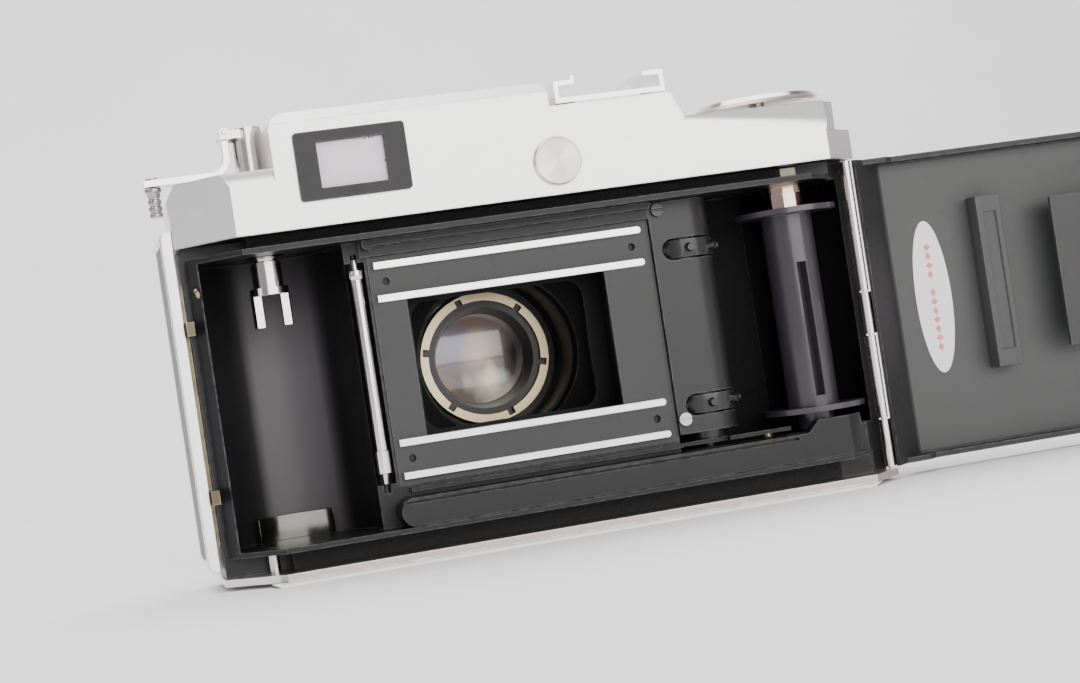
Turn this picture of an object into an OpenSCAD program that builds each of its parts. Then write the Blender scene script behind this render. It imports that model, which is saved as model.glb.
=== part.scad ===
// Leaf-shutter 35 mm film camera, back door open, as separate working pieces.
// Millimetres. Origin at the mouth of the tripod bush, X = 0 on the lens axis,
// +Y the way the lens looks, +Z up. The film side is -Y.

/* [Film] */
// Width of the image opening
gate_w = 36; // [30:0.5:46]
// Height of the image opening
gate_h = 24; // [18:0.5:25]
// Width of the film
film_w = 35; // [35:0.5:44]
// Width of one film rail
rail_w = 1.4; // [1:0.1:2]
// Radius of the sprocket wheels
sprocket_r = 6.05; // [5:0.05:7.5]
// Teeth on each sprocket wheel
sprocket_teeth = 8; // [6:1:10]
// Distance from a wheel's middle to the lens axis height
sprocket_row = 14.1; // [12:0.1:14.5]
// Radius of a film cartridge
cartridge_r = 12.5; // [10:0.1:15.5]
// Radius of the take-up spool's flanges
spool_flange_r = 9.35; // [8:0.05:11.5]
// Radius of the take-up spool's core
spool_core_r = 4.7; // [3.5:0.1:5.8]

/* [Body] */
// Distance of the three film shafts behind the middle of the body
shaft_back = 2; // [1:0.1:3]
// Thickness of the body in front of the cartridge chamber
front_wall = 5; // [4:0.1:7]
// Sheet thickness of the back door
door_t = 1; // [0.8:0.1:1.2]
// Sheet thickness of the top cover
cover_t = 1; // [0.8:0.1:1.3]
// Height of the top cover's deck above its lower edge
deck_rise = 10.9; // [10.4:0.1:14]
// Height of the finder housing above the deck
housing_rise = 9.1; // [8:0.1:12]
// Height of the light-trap channel above the film chamber
top_channel = 2; // [1.6:0.1:2.6]
// Height of the light-trap channel below the film chamber
bottom_channel = 3.3; // [2.6:0.1:4.2]
// Width of the accessory shoe's slot
shoe_w = 18.6; // [18.6:0.1:22]
// Radius of the tripod thread's crests
tripod_r = 2.553; // [2.1:0.01:4]

/* [Lens] */
// Radius of the lens standard
standard_r = 24; // [23:0.5:27]
// Radius of the rear retaining ring
retainer_r = 12.5; // [11:0.1:15]
// Radius of the rear glass
rear_glass_r = 8.6; // [7.5:0.1:9.2]
// Radius of the front glass
front_glass_r = 11.5; // [9.8:0.1:12.5]

/* [Fits] */
// Radial clearance of a shaft that turns in a bore
run = 0.04; // [0.02:0.01:0.08]
// Gap between pieces that slide past each other
slip = 0.2; // [0.15:0.01:0.3]
// Angle of the back door from its open rest, 0 open and -180 closed
door_turn = 0; // [-180:5:0]

/* [Hidden] */
$fn = 64;
eps = 0.01;
far = 400;

// heights, from the base up
base_t = 2;
ridge_t = 0.9;
gear_space = 5;
half_film = film_w / 2;
ridge_low_z = base_t + bottom_channel;
floor_z = ridge_low_z + ridge_t;
ledge_z = floor_z + gear_space;
axis_z = ledge_z + 4.6 + half_film;
ceiling_z = axis_z + half_film + 5.5;
ridge_top_z = ceiling_z + 1;
seam_z = ridge_top_z + top_channel;
deck_z = seam_z + deck_rise;
housing_z = deck_z + housing_rise;
seat_z = housing_z - 4.5;

// places along the body
chamber_r = cartridge_r + 0.5;
spool_chamber_r = spool_flange_r + 0.65;
cartridge_x = -(gate_w / 2 + 10 + chamber_r);
roller_x = -(gate_w / 2 + 8.3);
sprocket_x = gate_w / 2 + 10.15 + sprocket_r;
shaft_gap = spool_flange_r + sprocket_r + 5.8;
takeup_x = sprocket_x + shaft_gap;
hinge_x = takeup_x + spool_chamber_r + 0.8;
right_x = hinge_x + 1.3;
left_x = cartridge_x - chamber_r - 2.5;
left_ridge_x = cartridge_x - chamber_r - ridge_t;
gate_left_x = -(gate_w / 2 + 5.2);
gate_right_x = gate_w / 2 + 7.7;

// places through the body
shaft_y = -shaft_back;
film_y = shaft_y - sprocket_r + 0.05;
back_y = shaft_y - chamber_r - door_t;
front_y = shaft_y + chamber_r + front_wall;
hinge_y = film_y;
left_bevel = 10;
right_bevel = min(right_x - hinge_x + 5.8, hinge_y - back_y - 0.9);
corner_r = 7;
skin_t = 0.7;

// film rails
inner_rail = gate_h / 2 + rail_w / 2;
outer_rail = half_film + rail_w / 2 + 0.3;
rail_left_x = gate_left_x;
rail_right_x = gate_right_x;

// hinge
knuckle_r = 0.85;
hinge_pin_r = 0.42;
door_low_z = ridge_low_z - bottom_channel + 0.3;
door_top_z = seam_z - 0.3;
knuckle_cuts = [axis_z - 22, axis_z - 6.4, axis_z + 1.6];

// gears under the film shafts
teeth_a = 24;
teeth_i = 18;
teeth_b = 18;
gear_m = 2 * shaft_gap / (teeth_a + 2 * teeth_i + teeth_b);
gear_z = ridge_low_z + 1.6;
gear_t = 2;
idler_x = sprocket_x + gear_m * (teeth_a + teeth_i) / 2;
gear_places = [[sprocket_x, teeth_a], [idler_x, teeth_i], [takeup_x, teeth_b]];

// front parts
standard_y = front_y + 8;
housing_y = standard_y + 10;
rings_y = housing_y + 5;
barrel_y = rings_y + 8;
retainer_y = shaft_y + 23;
blade_y = standard_y + 5;
pivot_r = rear_glass_r + 6.9;
lever_pivot = [-standard_r - 6.5, axis_z + 17];
timer_pivot = [standard_r + 5, axis_z + 10];
filter_r = front_glass_r + 3.4;
lens_hole_r = retainer_r + 2.4;
channel_y = shaft_y - 2;

// ---------- shared shapes ----------

// Body outline seen from above, shrunk inward by g
module body_plan(g = 0) {
    s = g * 0.4142;
    polygon([[left_x + left_bevel + s, back_y + g], [right_x - right_bevel - s, back_y + g],
        [right_x - g, back_y + right_bevel + s], [right_x - g, front_y - corner_r],
        [right_x - corner_r, front_y - g], [left_x + corner_r, front_y - g],
        [left_x + g, front_y - corner_r], [left_x + g, back_y + left_bevel + s]]);
    for (x = [left_x + corner_r, right_x - corner_r])
        translate([x, front_y - corner_r]) circle(r = corner_r - g);
}

module slab(low, high) {
    translate(low) cube(high - low);
}

module post(x, y, z0, z1, r) {
    translate([x, y, z0]) cylinder(r = r, h = z1 - z0);
}

// A cylinder along Y from y0 to y1
module barrel(x, z, y0, y1, r, r2 = -1) {
    translate([x, y0, z]) rotate([-90, 0, 0]) cylinder(r1 = r, r2 = r2 < 0 ? r : r2, h = y1 - y0);
}

module ring_y(y0, y1, r_in, r_out) {
    difference() {
        barrel(0, axis_z, y0, y1, r_out);
        barrel(0, axis_z, y0 - 1, y1 + 1, r_in);
    }
}

// A profile in X-Z pushed along Y from y0 to y1
module along_y(y0, y1) {
    translate([0, y1, 0]) rotate([90, 0, 0]) linear_extrude(y1 - y0) children();
}

module round_rect(w, h, r) {
    square([w - 2 * r, h], center = true);
    square([w, h - 2 * r], center = true);
    for (x = [-1, 1], y = [-1, 1]) translate([x * (w / 2 - r), y * (h / 2 - r)]) circle(r = r);
}

// Half of space beyond a plane through a point, on the side its normal points to
module beyond(point, normal) {
    translate(point) rotate([0, acos(normal[2] / norm(normal)), atan2(normal[1], normal[0])])
        translate([-100, -100, 0]) cube([200, 200, 60]);
}

// Spur gear with plain trapezoid teeth
module gear(teeth, thick, bore, turn = 0) {
    pr = gear_m * teeth / 2;
    add = 0.75 * gear_m;
    ded = 1.05 * gear_m;
    half = gear_m * 3.1416 / 4 * 0.86;
    rotate([0, 0, turn]) linear_extrude(thick) difference() {
        union() {
            circle(r = pr - ded);
            for (i = [0 : teeth - 1]) rotate([0, 0, i * 360 / teeth])
                polygon([[pr - ded - 0.3, -half * 1.35], [pr, -half], [pr + add, -half * 0.45],
                    [pr + add, half * 0.45], [pr, half], [pr - ded - 0.3, half * 1.35]]);
        }
        circle(r = bore);
    }
}

// ---------- chassis ----------

housing_left_x = cartridge_x + 2.3;
housing_right_x = housing_left_x + 49.1;
seat_right_x = housing_right_x + shoe_w + 3.5;
deck_right_x = seat_right_x + 1.9;
roller_y = film_y + 1.1;
hub_r = 2.65;
fork_hole_r = 3.8;

// Room for the closed door: everything outside its inner faces
module door_room() {
    in = 0.5 + door_t + 0.25;
    translate([0, 0, base_t - 1]) linear_extrude(seam_z - base_t + 1) difference() {
        translate([-far, back_y - 9]) square([2 * far, left_bevel + 10.6]);
        polygon([[door_knee_x + in * 0.4142, back_y + in], [door_hip_x - in * 0.4142, back_y + in],
            [door_hip_x - in * 1.4142 + 60, back_y + 60], [door_knee_x + in * 1.4142 - 60, back_y + 60]]);
    }
}

// The casting's outside, cut back for the door, the channels and the film chambers
module casting_block() {
    deep = back_y - 5;
    difference() {
        union() {
            translate([0, 0, base_t + eps]) linear_extrude(seam_z - base_t - eps) body_plan(skin_t + 0.05);
            translate([0, 0, seam_z - eps]) linear_extrude(1) body_plan(cover_t + 0.1);
        }
        // light-trap channels round the door opening
        slab([-far, deep, ridge_top_z], [hinge_x - 3, back_y + 7, seam_z]);
        slab([-far, deep, base_t - 1], [hinge_x - 3, back_y + 7, ridge_low_z]);
        slab([left_x - 5, deep, base_t - 1], [left_ridge_x, channel_y, seam_z]);
        slab([left_x - 5, deep, ridge_top_z], [cartridge_x - 3, channel_y, seam_z]);
        slab([left_x - 5, deep, base_t - 1], [cartridge_x - 3, channel_y, ridge_low_z]);
        // clearance for the door's sheet and knuckles
        slab([hinge_x - 3.2, deep, base_t - 1], [far, hinge_y + 3.2, seam_z]);
        door_room();
        // film chamber behind the film plane
        slab([left_ridge_x + ridge_t, deep, floor_z], [hinge_x - 1.9, film_y + 0.9, ceiling_z]);
        // cartridge, sprocket and take-up chambers
        post(cartridge_x, shaft_y, floor_z, ceiling_z, chamber_r);
        slab([cartridge_x, back_y, floor_z], [cartridge_x + chamber_r, shaft_y, ceiling_z]);
        post(sprocket_x, shaft_y, ledge_z, ceiling_z, sprocket_r + 2.2);
        post(takeup_x, shaft_y, ledge_z, ceiling_z, spool_chamber_r);
        slab([sprocket_x, back_y, ledge_z], [takeup_x, shaft_y + sprocket_r + 2, ceiling_z]);
        slab([gate_right_x + 1.6, back_y, ledge_z], [takeup_x, film_y + 2.2, axis_z + half_film + 4]);
        // light box behind the lens
        slab([-gate_w / 2 - 1.5, film_y - 1, axis_z - gate_h / 2 - 2],
            [gate_w / 2 + 1.5, shaft_y + 10, axis_z + gate_h / 2 + 2]);
        barrel(0, axis_z, film_y + 10, front_y + 1, lens_hole_r + 0.1);
        // hollows of the casting, closed by the base plate and the top cover
        wall_y = front_y - 1.8;
        low = base_t - 1;
        slab([left_x + 13, shaft_y + chamber_r + 1.4, low], [-gate_w / 2 - 3.4, wall_y, ceiling_z - 2]);
        slab([-gate_w / 2 - 7.4, shaft_y, low], [-gate_w / 2 - 3.4, wall_y, ceiling_z - 2]);
        slab([gate_w / 2 + 3.2, shaft_y + 1, low], [sprocket_x - sprocket_r - 3.6, wall_y, ceiling_z - 2]);
        slab([gate_w / 2 + 3.2, shaft_y + sprocket_r + 3.6, low], [takeup_x - 5, wall_y, ceiling_z - 2]);
        slab([takeup_x - 6, shaft_y + spool_chamber_r + 1.4, low], [takeup_x + 0.6, wall_y, ceiling_z - 2]);
        slab([-gate_w / 2 + 2, film_y + 3.4, axis_z + max(gate_h / 2 + 3.4, lens_hole_r + 1.5)], [gate_w / 2 - 2, wall_y, seam_z + 5]);
        for (s = [-1, 1]) slab([min(s * 7.4, s * (gate_w / 2 + 1)), film_y + 4, low],
            [max(s * 7.4, s * (gate_w / 2 + 1)), wall_y, axis_z - max(gate_h / 2 + 3.4, lens_hole_r + 1.5)]);
    }
}

// Stepped bands above the film opening and a rib below it
module casting_bands() {
    left = gate_left_x - 2.2;
    right = gate_right_x + 1.6;
    low = axis_z + outer_rail + 1.65;
    along_y(film_y - 0.4, film_y + 1.6) translate([left, low]) square([right - left, ceiling_z - low + 0.3]);
    along_y(film_y - 2.2, film_y + 1.6) {
        translate([left + 1.4, low + 1.7]) square([right - left - 1.4, ceiling_z - low - 1.4]);
        translate([left + 1.4, ceiling_z - 0.7]) circle(r = 1);
    }
    slab([left + 3, film_y - 1.1, ledge_z + 0.8], [takeup_x - 7.6, film_y + 1, ledge_z + 1.5]);
}

module body_casting() {
    color([0.09, 0.09, 0.1]) difference() {
        union() {
            casting_block();
            casting_bands();
        }
        // seats for the gate, the roller and the shafts
        slab([gate_left_x - 1, back_y, axis_z - outer_rail - 1.6],
            [gate_right_x + 1.7, film_y + 1.7, axis_z + outer_rail + 1.6]);
        post(roller_x, roller_y, axis_z - half_film - 2, axis_z + half_film + 2, 1.7);
        slab([roller_x - 1.7, back_y, axis_z - half_film - 2], [roller_x + 1.7, roller_y, axis_z + half_film + 2]);
        post(roller_x, roller_y, axis_z - half_film - 3.5, axis_z + half_film + 3.5, 0.6 + run);
        post(cartridge_x, shaft_y, ceiling_z - 1, seam_z + 5, fork_hole_r);
        post(sprocket_x, shaft_y, ledge_z - 6, seam_z + 5, 1.5 + run);
        post(takeup_x, shaft_y, ledge_z - 6, seam_z + 5, 2 + run);
        post(takeup_x, shaft_y, ceiling_z - 1, seam_z + 0.2, 4.1);
        slab([gate_right_x + 1.6, back_y, ledge_z], [sprocket_x + 2, film_y + 0.7, axis_z + half_film + 5.5]);
        for (p = cover_screw_places) barrel(p[0], p[1], film_y - 2, film_y + 2, 0.75);
        // gear train pocket, closed below by the base plate
        for (g = gear_places)
            post(g[0], shaft_y, base_t - 1, gear_z + gear_t + 0.3, gear_m * (g[1] / 2 + 1.3));
        post(idler_x, shaft_y, gear_z, gear_z + gear_t + 3.2, 1 + run);
        // pivots of the two front levers
        for (p = [lever_pivot, timer_pivot]) barrel(p[0], p[1], front_y - 4.2, front_y + 1, 1.2 + run);
        // bush, base screws and reset plunger
        post(0, 0, base_t - 1, 6.6, 5.4);
        for (p = base_screw_places) post(p[0], p[1], base_t - 1, base_t + 4.4, 1.05);
        slab([plunger_x - 1.5 - slip, back_y, seam_z - 1.85], [plunger_x + 1.5 + slip, film_y + 3.3, seam_z + 0.03]);
    }
}

module film_gate() {
    color([0.07, 0.07, 0.07]) difference() {
        slab([gate_left_x - 0.9, film_y + 0.8, axis_z - outer_rail - 1.6],
            [gate_right_x + 1.6, film_y + 1.7, axis_z + outer_rail + 1.6]);
        slab([-gate_w / 2, film_y - 1, axis_z - gate_h / 2], [gate_w / 2, film_y + 3, axis_z + gate_h / 2]);
        for (x = [gate_left_x + 2, gate_right_x - 2], s = [-1, 1])
            barrel(x, axis_z + s * (inner_rail + outer_rail) / 2, film_y, film_y + 3, 0.7);
    }
}

module film_rails() {
    color([0.82, 0.82, 0.82]) for (s = [-1, 1]) {
        translate([rail_left_x, film_y, axis_z + s * inner_rail - rail_w / 2])
            cube([rail_right_x - rail_left_x, 0.8, rail_w]);
        translate([rail_left_x, film_y - 0.2, axis_z + s * outer_rail - rail_w / 2])
            cube([rail_right_x - rail_left_x, 1, rail_w]);
    }
}

module light_baffle() {
    color([0.05, 0.05, 0.05]) {
        translate([0, shaft_y + 6, axis_z]) rotate([90, 0, 0]) linear_extrude(1) difference() {
            square([gate_w + 2.8, gate_h + 3.8], center = true);
            round_rect(gate_w - 4, gate_h - 0.8, 3);
        }
        // blackened tube round the back of the lens
        ring_y(shaft_y + 13, standard_y - 0.2, lens_hole_r - 0.65, lens_hole_r - 0.05);
    }
}

// Long black cover over the transport train, below the film opening
module gear_housing() {
    left = -(gate_w / 2 + 7.4);
    right = takeup_x + 3.6;
    step_x = takeup_x - 6;
    color([0.08, 0.08, 0.085]) difference() {
        along_y(back_y + 2.05, film_y + 0.6) {
            polygon([[left + 2.5, floor_z + 0.05], [right, floor_z + 0.05], [right + 3, floor_z + 3],
                [right + 3, ledge_z + 2.1], [step_x + 2, ledge_z + 2.1], [step_x, ledge_z],
                [left + 2.5, ledge_z], [left, ledge_z - 2.5], [left, floor_z + 2.5]]);
            translate([left + 2.5, ledge_z - 2.5]) circle(r = 2.5);
            translate([left + 2.5, floor_z + 2.55]) circle(r = 2.5);
        }
        post(takeup_x, shaft_y, ledge_z - 0.1, ledge_z + 5, spool_chamber_r);
        translate([left, back_y + 1, ledge_z - 0.9]) cube([step_x - left - 2, 2.2, 0.4]);
        door_room();
        for (g = gear_places) post(g[0], shaft_y, floor_z - 1, gear_z + gear_t + 0.3, gear_m * (g[1] / 2 + 1.3));
    }
}

base_screw_places = [for (x = [left_x + 9, right_x - 9], y = [back_y + 9.6, front_y - 5]) [x, y]];

// ---------- top cover ----------

// Cover form shrunk inward by g: deck, finder housing, shoe seat and right-hand deck
module cover_form(g = 0) {
    difference() {
        intersection() {
            translate([0, 0, seam_z - (g > 0 ? 1 : 0)]) linear_extrude(60) body_plan(g);
            along_y(back_y - 1, front_y + 1) {
                polygon([[left_x - 1, seam_z - 1], [right_x + 1, seam_z - 1], [right_x + 1, deck_z - g],
                    [deck_right_x, deck_z - g], [seat_right_x - g, seat_z - g], [housing_right_x - g, seat_z - g],
                    [housing_right_x - g, housing_z - 2], [housing_right_x - 2, housing_z - g],
                    [housing_left_x + 3, housing_z - g], [housing_left_x + g, housing_z - 3],
                    [housing_left_x + g, deck_z - g], [left_x - 1, deck_z - g]]);
                translate([housing_left_x + 3, housing_z - 3]) circle(r = 3 - g);
                translate([housing_right_x - 2, housing_z - 2]) circle(r = 2 - g);
            }
        }
        // recess that clears the rewind hub
        post(cartridge_x, shaft_y, deck_z - g, housing_z + 5, hub_r + 1.6 + g);
    }
}

left_edge_drop = 2.5;
left_edge_inset = 1.4;
housing_edge_drop = 1.9;
housing_edge_inset = 1.3;
right_edge_drop = 5.6;
right_edge_inset = 2.2;

// What the bevels take off the cover's outer edges
module cover_bevels() {
    // left deck: back, corner and side
    intersection() {
        union() {
            for (inward = [[0, 1], [0.7071, 0.7071], [1, 0]])
                beyond([left_x + inward[0] * left_edge_inset + (1 - inward[0]) * left_bevel,
                    back_y + inward[1] * left_edge_inset + (1 - inward[1]) * left_bevel,
                    deck_z], [-inward[0] * left_edge_drop, -inward[1] * left_edge_drop, left_edge_inset]);
        }
        slab([left_x - 5, back_y - 5, seam_z + 5], [housing_left_x, front_y + 5, housing_z + 9]);
    }
    // housing: back and left top edges
    intersection() {
        beyond([0, back_y + housing_edge_inset, housing_z], [0, -housing_edge_drop, housing_edge_inset]);
        slab([housing_left_x - 1, back_y - 5, seat_z + 1], [housing_right_x + 1, front_y, housing_z + 9]);
    }
    // right deck: tapered bevel that grows towards the corner
    corner_x = right_x - right_bevel;
    run_x = corner_x - deck_right_x;
    intersection() {
        beyond([corner_x, back_y + right_edge_inset, deck_z],
            [(right_edge_drop - 1.2) * right_edge_inset, -run_x * right_edge_drop, run_x * right_edge_inset]);
        slab([deck_right_x, back_y - 5, seam_z + 3], [right_x + 5, front_y, deck_z + 9]);
    }
    // right deck: step round the corner and the end
    difference() {
        slab([corner_x - 1, back_y - 5, deck_z - right_edge_drop], [right_x + 5, front_y + 5, deck_z + 5]);
        linear_extrude(far) body_plan(right_edge_inset);
        slab([0, back_y - 6, 0], [corner_x + 0.9, back_y + 12, far]);
        slab([0, front_y - 8, 0], [right_x - corner_r, front_y + 6, far]);
    }
}

eyepiece = [cartridge_x + 15.75, seam_z + 10.2];
eyepiece_w = 19.3;
eyepiece_h = 11.75;
finder_w = 11.65;
finder_h = 7.85;
cap_x = housing_right_x - 0.1;
cap_z = seam_z + 5.8;
finder_front_x = eyepiece[0];
range_x = eyepiece[0] + 33;
release_x = deck_right_x + 6;

// Thicker wall behind the right deck's deep bevel and step
module right_deck_wall() {
    wall = right_edge_inset + cover_t;
    low = deck_z - right_edge_drop - cover_t;
    slab([deck_right_x + 2, back_y - 1, low], [right_x + 1, back_y + wall, deck_z + 1]);
    difference() {
        slab([right_x - right_bevel - 2, back_y - 1, low], [right_x + 1, front_y + 1, deck_z + 1]);
        linear_extrude(far) body_plan(wall);
    }
}

release_y = front_y - 6.5;
dial_x = takeup_x - 2.2;
dial_y = shaft_y + 0.5;
dial_r = spool_flange_r + 2.1;

module top_cover() {
    color([0.85, 0.85, 0.83]) difference() {
        cover_form(0);
        cover_bevels();
        difference() {
            cover_form(cover_t);
            right_deck_wall();
        }
        // eyepiece, adjuster port and front windows
        translate([eyepiece[0], back_y + 4, eyepiece[1]]) rotate([90, 0, 0]) linear_extrude(9)
            round_rect(eyepiece_w - 1.6, eyepiece_h - 1.6, 1);
        barrel(cap_x, cap_z, back_y - 5, back_y + 5, 3.2);
        slab([finder_front_x - 9, front_y - 4, eyepiece[1] - 5], [range_x + 4, front_y + 4, eyepiece[1] + 4.2]);
        post(cartridge_x, shaft_y, deck_z - 5, deck_z + 5, hub_r + run);
        post(dial_x, dial_y, deck_z - 5, deck_z + 5, 1.5 + run);
        post(release_x, release_y, deck_z - 5, deck_z + 5, 3.1);
    }
}

module viewfinder_frame() {
    color([0.06, 0.06, 0.06]) translate([eyepiece[0], 0, eyepiece[1]]) difference() {
        union() {
            translate([0, back_y, 0]) rotate([90, 0, 0]) linear_extrude(0.8) round_rect(eyepiece_w, eyepiece_h, 0.7);
            translate([0, back_y + 2.4, 0]) rotate([90, 0, 0]) linear_extrude(2.4)
                round_rect(eyepiece_w - 1.7, eyepiece_h - 1.7, 1);
        }
        slab([-finder_w / 2, back_y - 5, -finder_h / 2], [finder_w / 2, back_y + 5, finder_h / 2]);
        slab([-finder_w / 2 - 0.8, back_y + 0.6, -finder_h / 2 - 0.8], [finder_w / 2 + 0.8, back_y + 5, finder_h / 2 + 0.8]);
    }
}

// Eyepiece glass, viewfinder front glass and rangefinder glass
module finder_glasses() {
    color([0.85, 0.8, 0.85, 0.5]) {
        translate([eyepiece[0] - finder_w / 2 - 0.75, back_y + 0.65, eyepiece[1] - finder_h / 2 - 0.75])
            cube([finder_w + 1.5, 1.2, finder_h + 1.5]);
        translate([finder_front_x - 7.9, front_y - 0.5, eyepiece[1] - 4.4]) cube([15.8, 0.9, 7.8]);
        translate([range_x - 2.4, front_y - 0.5, eyepiece[1] - 2.4]) cube([4.8, 0.9, 4.8]);
        translate([range_x - 17, front_y - 0.5, eyepiece[1] - 3.4]) cube([9, 0.9, 5.8]);
    }
}

// Finder block behind the eyepiece with the rangefinder's side arm
module finder_block() {
    color([0.6, 0.65, 0.6, 0.6]) {
        slab([eyepiece[0] - 6.2, back_y + 4, eyepiece[1] - 4.2], [eyepiece[0] + 6.2, front_y - 6, eyepiece[1] + 4.2]);
        slab([eyepiece[0] + 6.2 + eps, front_y - 12, eyepiece[1] - 2.4], [range_x + 2.2, front_y - 7, eyepiece[1] + 2.4]);
    }
}

module front_window_plate() {
    color([0.8, 0.8, 0.78]) difference() {
        union() {
            slab([finder_front_x - 9.6, front_y, eyepiece[1] - 5.6], [range_x + 4.6, front_y + 0.9, eyepiece[1] + 4.8]);
            slab([finder_front_x - 8.9, front_y - 1.4, eyepiece[1] - 4.9], [range_x + 3.9, front_y + eps, eyepiece[1] + 4.1]);
        }
        slab([finder_front_x - 7.2, front_y - 3, eyepiece[1] - 3.7], [finder_front_x + 7.2, front_y + 3, eyepiece[1] + 2.7]);
        slab([range_x - 1.8, front_y - 3, eyepiece[1] - 1.8], [range_x + 1.8, front_y + 3, eyepiece[1] + 1.8]);
        slab([range_x - 16.4, front_y - 3, eyepiece[1] - 2.8], [range_x - 8.6, front_y + 3, eyepiece[1] + 1.8]);
        slab([finder_front_x - 8, front_y - 3, eyepiece[1] - 4.5], [finder_front_x + 8, front_y + 0.45, eyepiece[1] + 3.5]);
        slab([range_x - 2.5, front_y - 3, eyepiece[1] - 2.5], [range_x + 2.5, front_y + 0.45, eyepiece[1] + 2.5]);
        slab([range_x - 17.1, front_y - 3, eyepiece[1] - 3.5], [range_x - 7.9, front_y + 0.45, eyepiece[1] + 2.5]);
    }
}

// Turned cap over the rangefinder adjuster
module adjuster_cap() {
    color([0.75, 0.74, 0.7]) {
        barrel(cap_x, cap_z, back_y - 0.9, back_y - 0.02, 4.1, 4.4);
        barrel(cap_x, cap_z, back_y - 0.03, back_y + 3, 3.15);
    }
}

shoe_x = housing_right_x + 2.8 + shoe_w / 2;
shoe_y = -4;
shoe_len = 18;
shoe_z = seat_z + 0.6;

module accessory_shoe() {
    w = shoe_w / 2;
    color([0.85, 0.85, 0.85]) difference() {
        translate([shoe_x, 0, 0]) {
            slab([-w - 0.8, shoe_y - shoe_len / 2, shoe_z], [w + 0.8, shoe_y + shoe_len / 2, shoe_z + 0.9]);
            slab([-6, shoe_y - shoe_len / 2 + 2, seat_z + 0.02], [6, shoe_y + shoe_len / 2 - 2, shoe_z + eps]);
            for (s = [-1, 1]) {
                x = s * (w + 0.4);
                slab([x - 0.4, shoe_y - shoe_len / 2, shoe_z], [x + 0.4, shoe_y + shoe_len / 2, shoe_z + 3.9]);
                slab([min(x, s * (w - 3)), shoe_y - shoe_len / 2, shoe_z + 3.1],
                    [max(x, s * (w - 3)), shoe_y + shoe_len / 2, shoe_z + 3.9]);
            }
            slab([2.4 - w, shoe_y - shoe_len / 2, shoe_z + 3.2], [3 - w, shoe_y + shoe_len / 2, shoe_z + 4.6]);
            slab([-w + 1, shoe_y - 5, shoe_z + 0.9 - eps], [-w + 4, shoe_y + 5, shoe_z + 1.2]);
        }
        for (p = shoe_screw_places) post(p[0], p[1], seat_z - 2, shoe_z + 3, 0.95);
        for (p = shoe_screw_places) translate([p[0], p[1], shoe_z + 0.2]) cylinder(r1 = 0.95, r2 = 1.65, h = 0.71);
    }
}

shoe_screw_places = [for (x = [-5, 5], y = [-4.5, 4.5]) [shoe_x + x, shoe_y + y]];

// Slotted screws of the shoe and the base
module case_screws() {
    color([0.75, 0.75, 0.75]) {
        for (p = shoe_screw_places) translate([p[0], p[1], 0]) difference() {
            union() {
                post(0, 0, seat_z + 0.02, shoe_z + 0.3, 0.9);
                translate([0, 0, shoe_z + 0.25]) cylinder(r1 = 0.9, r2 = 1.55, h = 0.6);
            }
            translate([-2, -0.2, shoe_z + 0.55]) cube([4, 0.4, 1]);
        }
        for (p = base_screw_places) translate([p[0], p[1], 0]) difference() {
            union() {
                post(0, 0, base_t - 0.5, base_t + 4.2, 1.0);
                translate([0, 0, 0.75]) cylinder(r1 = 2, r2 = 1.0, h = base_t - 1.2);
            }
            translate([-3, -0.25, 0]) cube([6, 0.5, 1.15]);
        }
    }
}

// ---------- ends, base and skin ----------

panel_t = 2.2;
panel_x = left_x - 0.05 - panel_t;
panel_back_y = back_y + left_bevel;
panel_front_y = front_y - 4;
panel_low_z = base_t + 1.3;
panel_top_z = seam_z + 3.4;

module side_panel() {
    color([0.83, 0.83, 0.8]) difference() {
        along_y(panel_back_y, panel_front_y) intersection() {
            translate([panel_x, panel_low_z]) square([panel_t, panel_top_z - panel_low_z]);
            union() {
                polygon([[panel_x + panel_t, panel_low_z], [panel_x + panel_t, panel_top_z], [panel_x + 1.6, panel_top_z],
                    [panel_x, panel_top_z - 1.6], [panel_x, panel_low_z + 1.6], [panel_x + 1.6, panel_low_z]]);
                for (z = [panel_low_z + 1.6, panel_top_z - 1.6]) translate([panel_x + 1.6, z]) circle(r = 1.6);
            }
        }
        slab([panel_x - 1, panel_back_y + 1.2, panel_low_z + 2.2],
            [panel_x + 0.7, panel_front_y - 1.2, panel_top_z - 2.2]);
    }
}

foot_left_x = left_x + 8.9;
foot_right_x = right_x - 8;

module base_plate() {
    color([0.68, 0.66, 0.63]) difference() {
        union() {
            translate([0, 0, 0.75]) linear_extrude(base_t - 0.75) body_plan(0.3);
            along_y(back_y + 0.1, front_y - 0.6)
                polygon([[foot_left_x - 1.6, 0.76], [foot_left_x, 0], [foot_right_x, 0], [foot_right_x + 1.6, 0.76]]);
        }
        post(0, 0, -1, base_t + 1, 4.3);
        post(sprocket_x, shaft_y, -1, base_t + 1, 2.2 + run);
        for (p = base_screw_places) {
            post(p[0], p[1], -1, base_t + 1, 1.1);
            translate([p[0], p[1], -0.01]) cylinder(r = 2.1, h = 0.8);
            translate([p[0], p[1], 0.75]) cylinder(r1 = 2.1, r2 = 1.1, h = base_t - 1.15);
        }
    }
}

module tripod_bush() {
    color([0.72, 0.7, 0.62]) difference() {
        union() {
            post(0, 0, 0, base_t, 4.25);
            post(0, 0, base_t + 0.02, 6.5, 5.3);
            post(0, 0, base_t - eps, base_t + 0.03, 4.25);
        }
        post(0, 0, -1, 5.6, tripod_r);
    }
}

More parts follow.
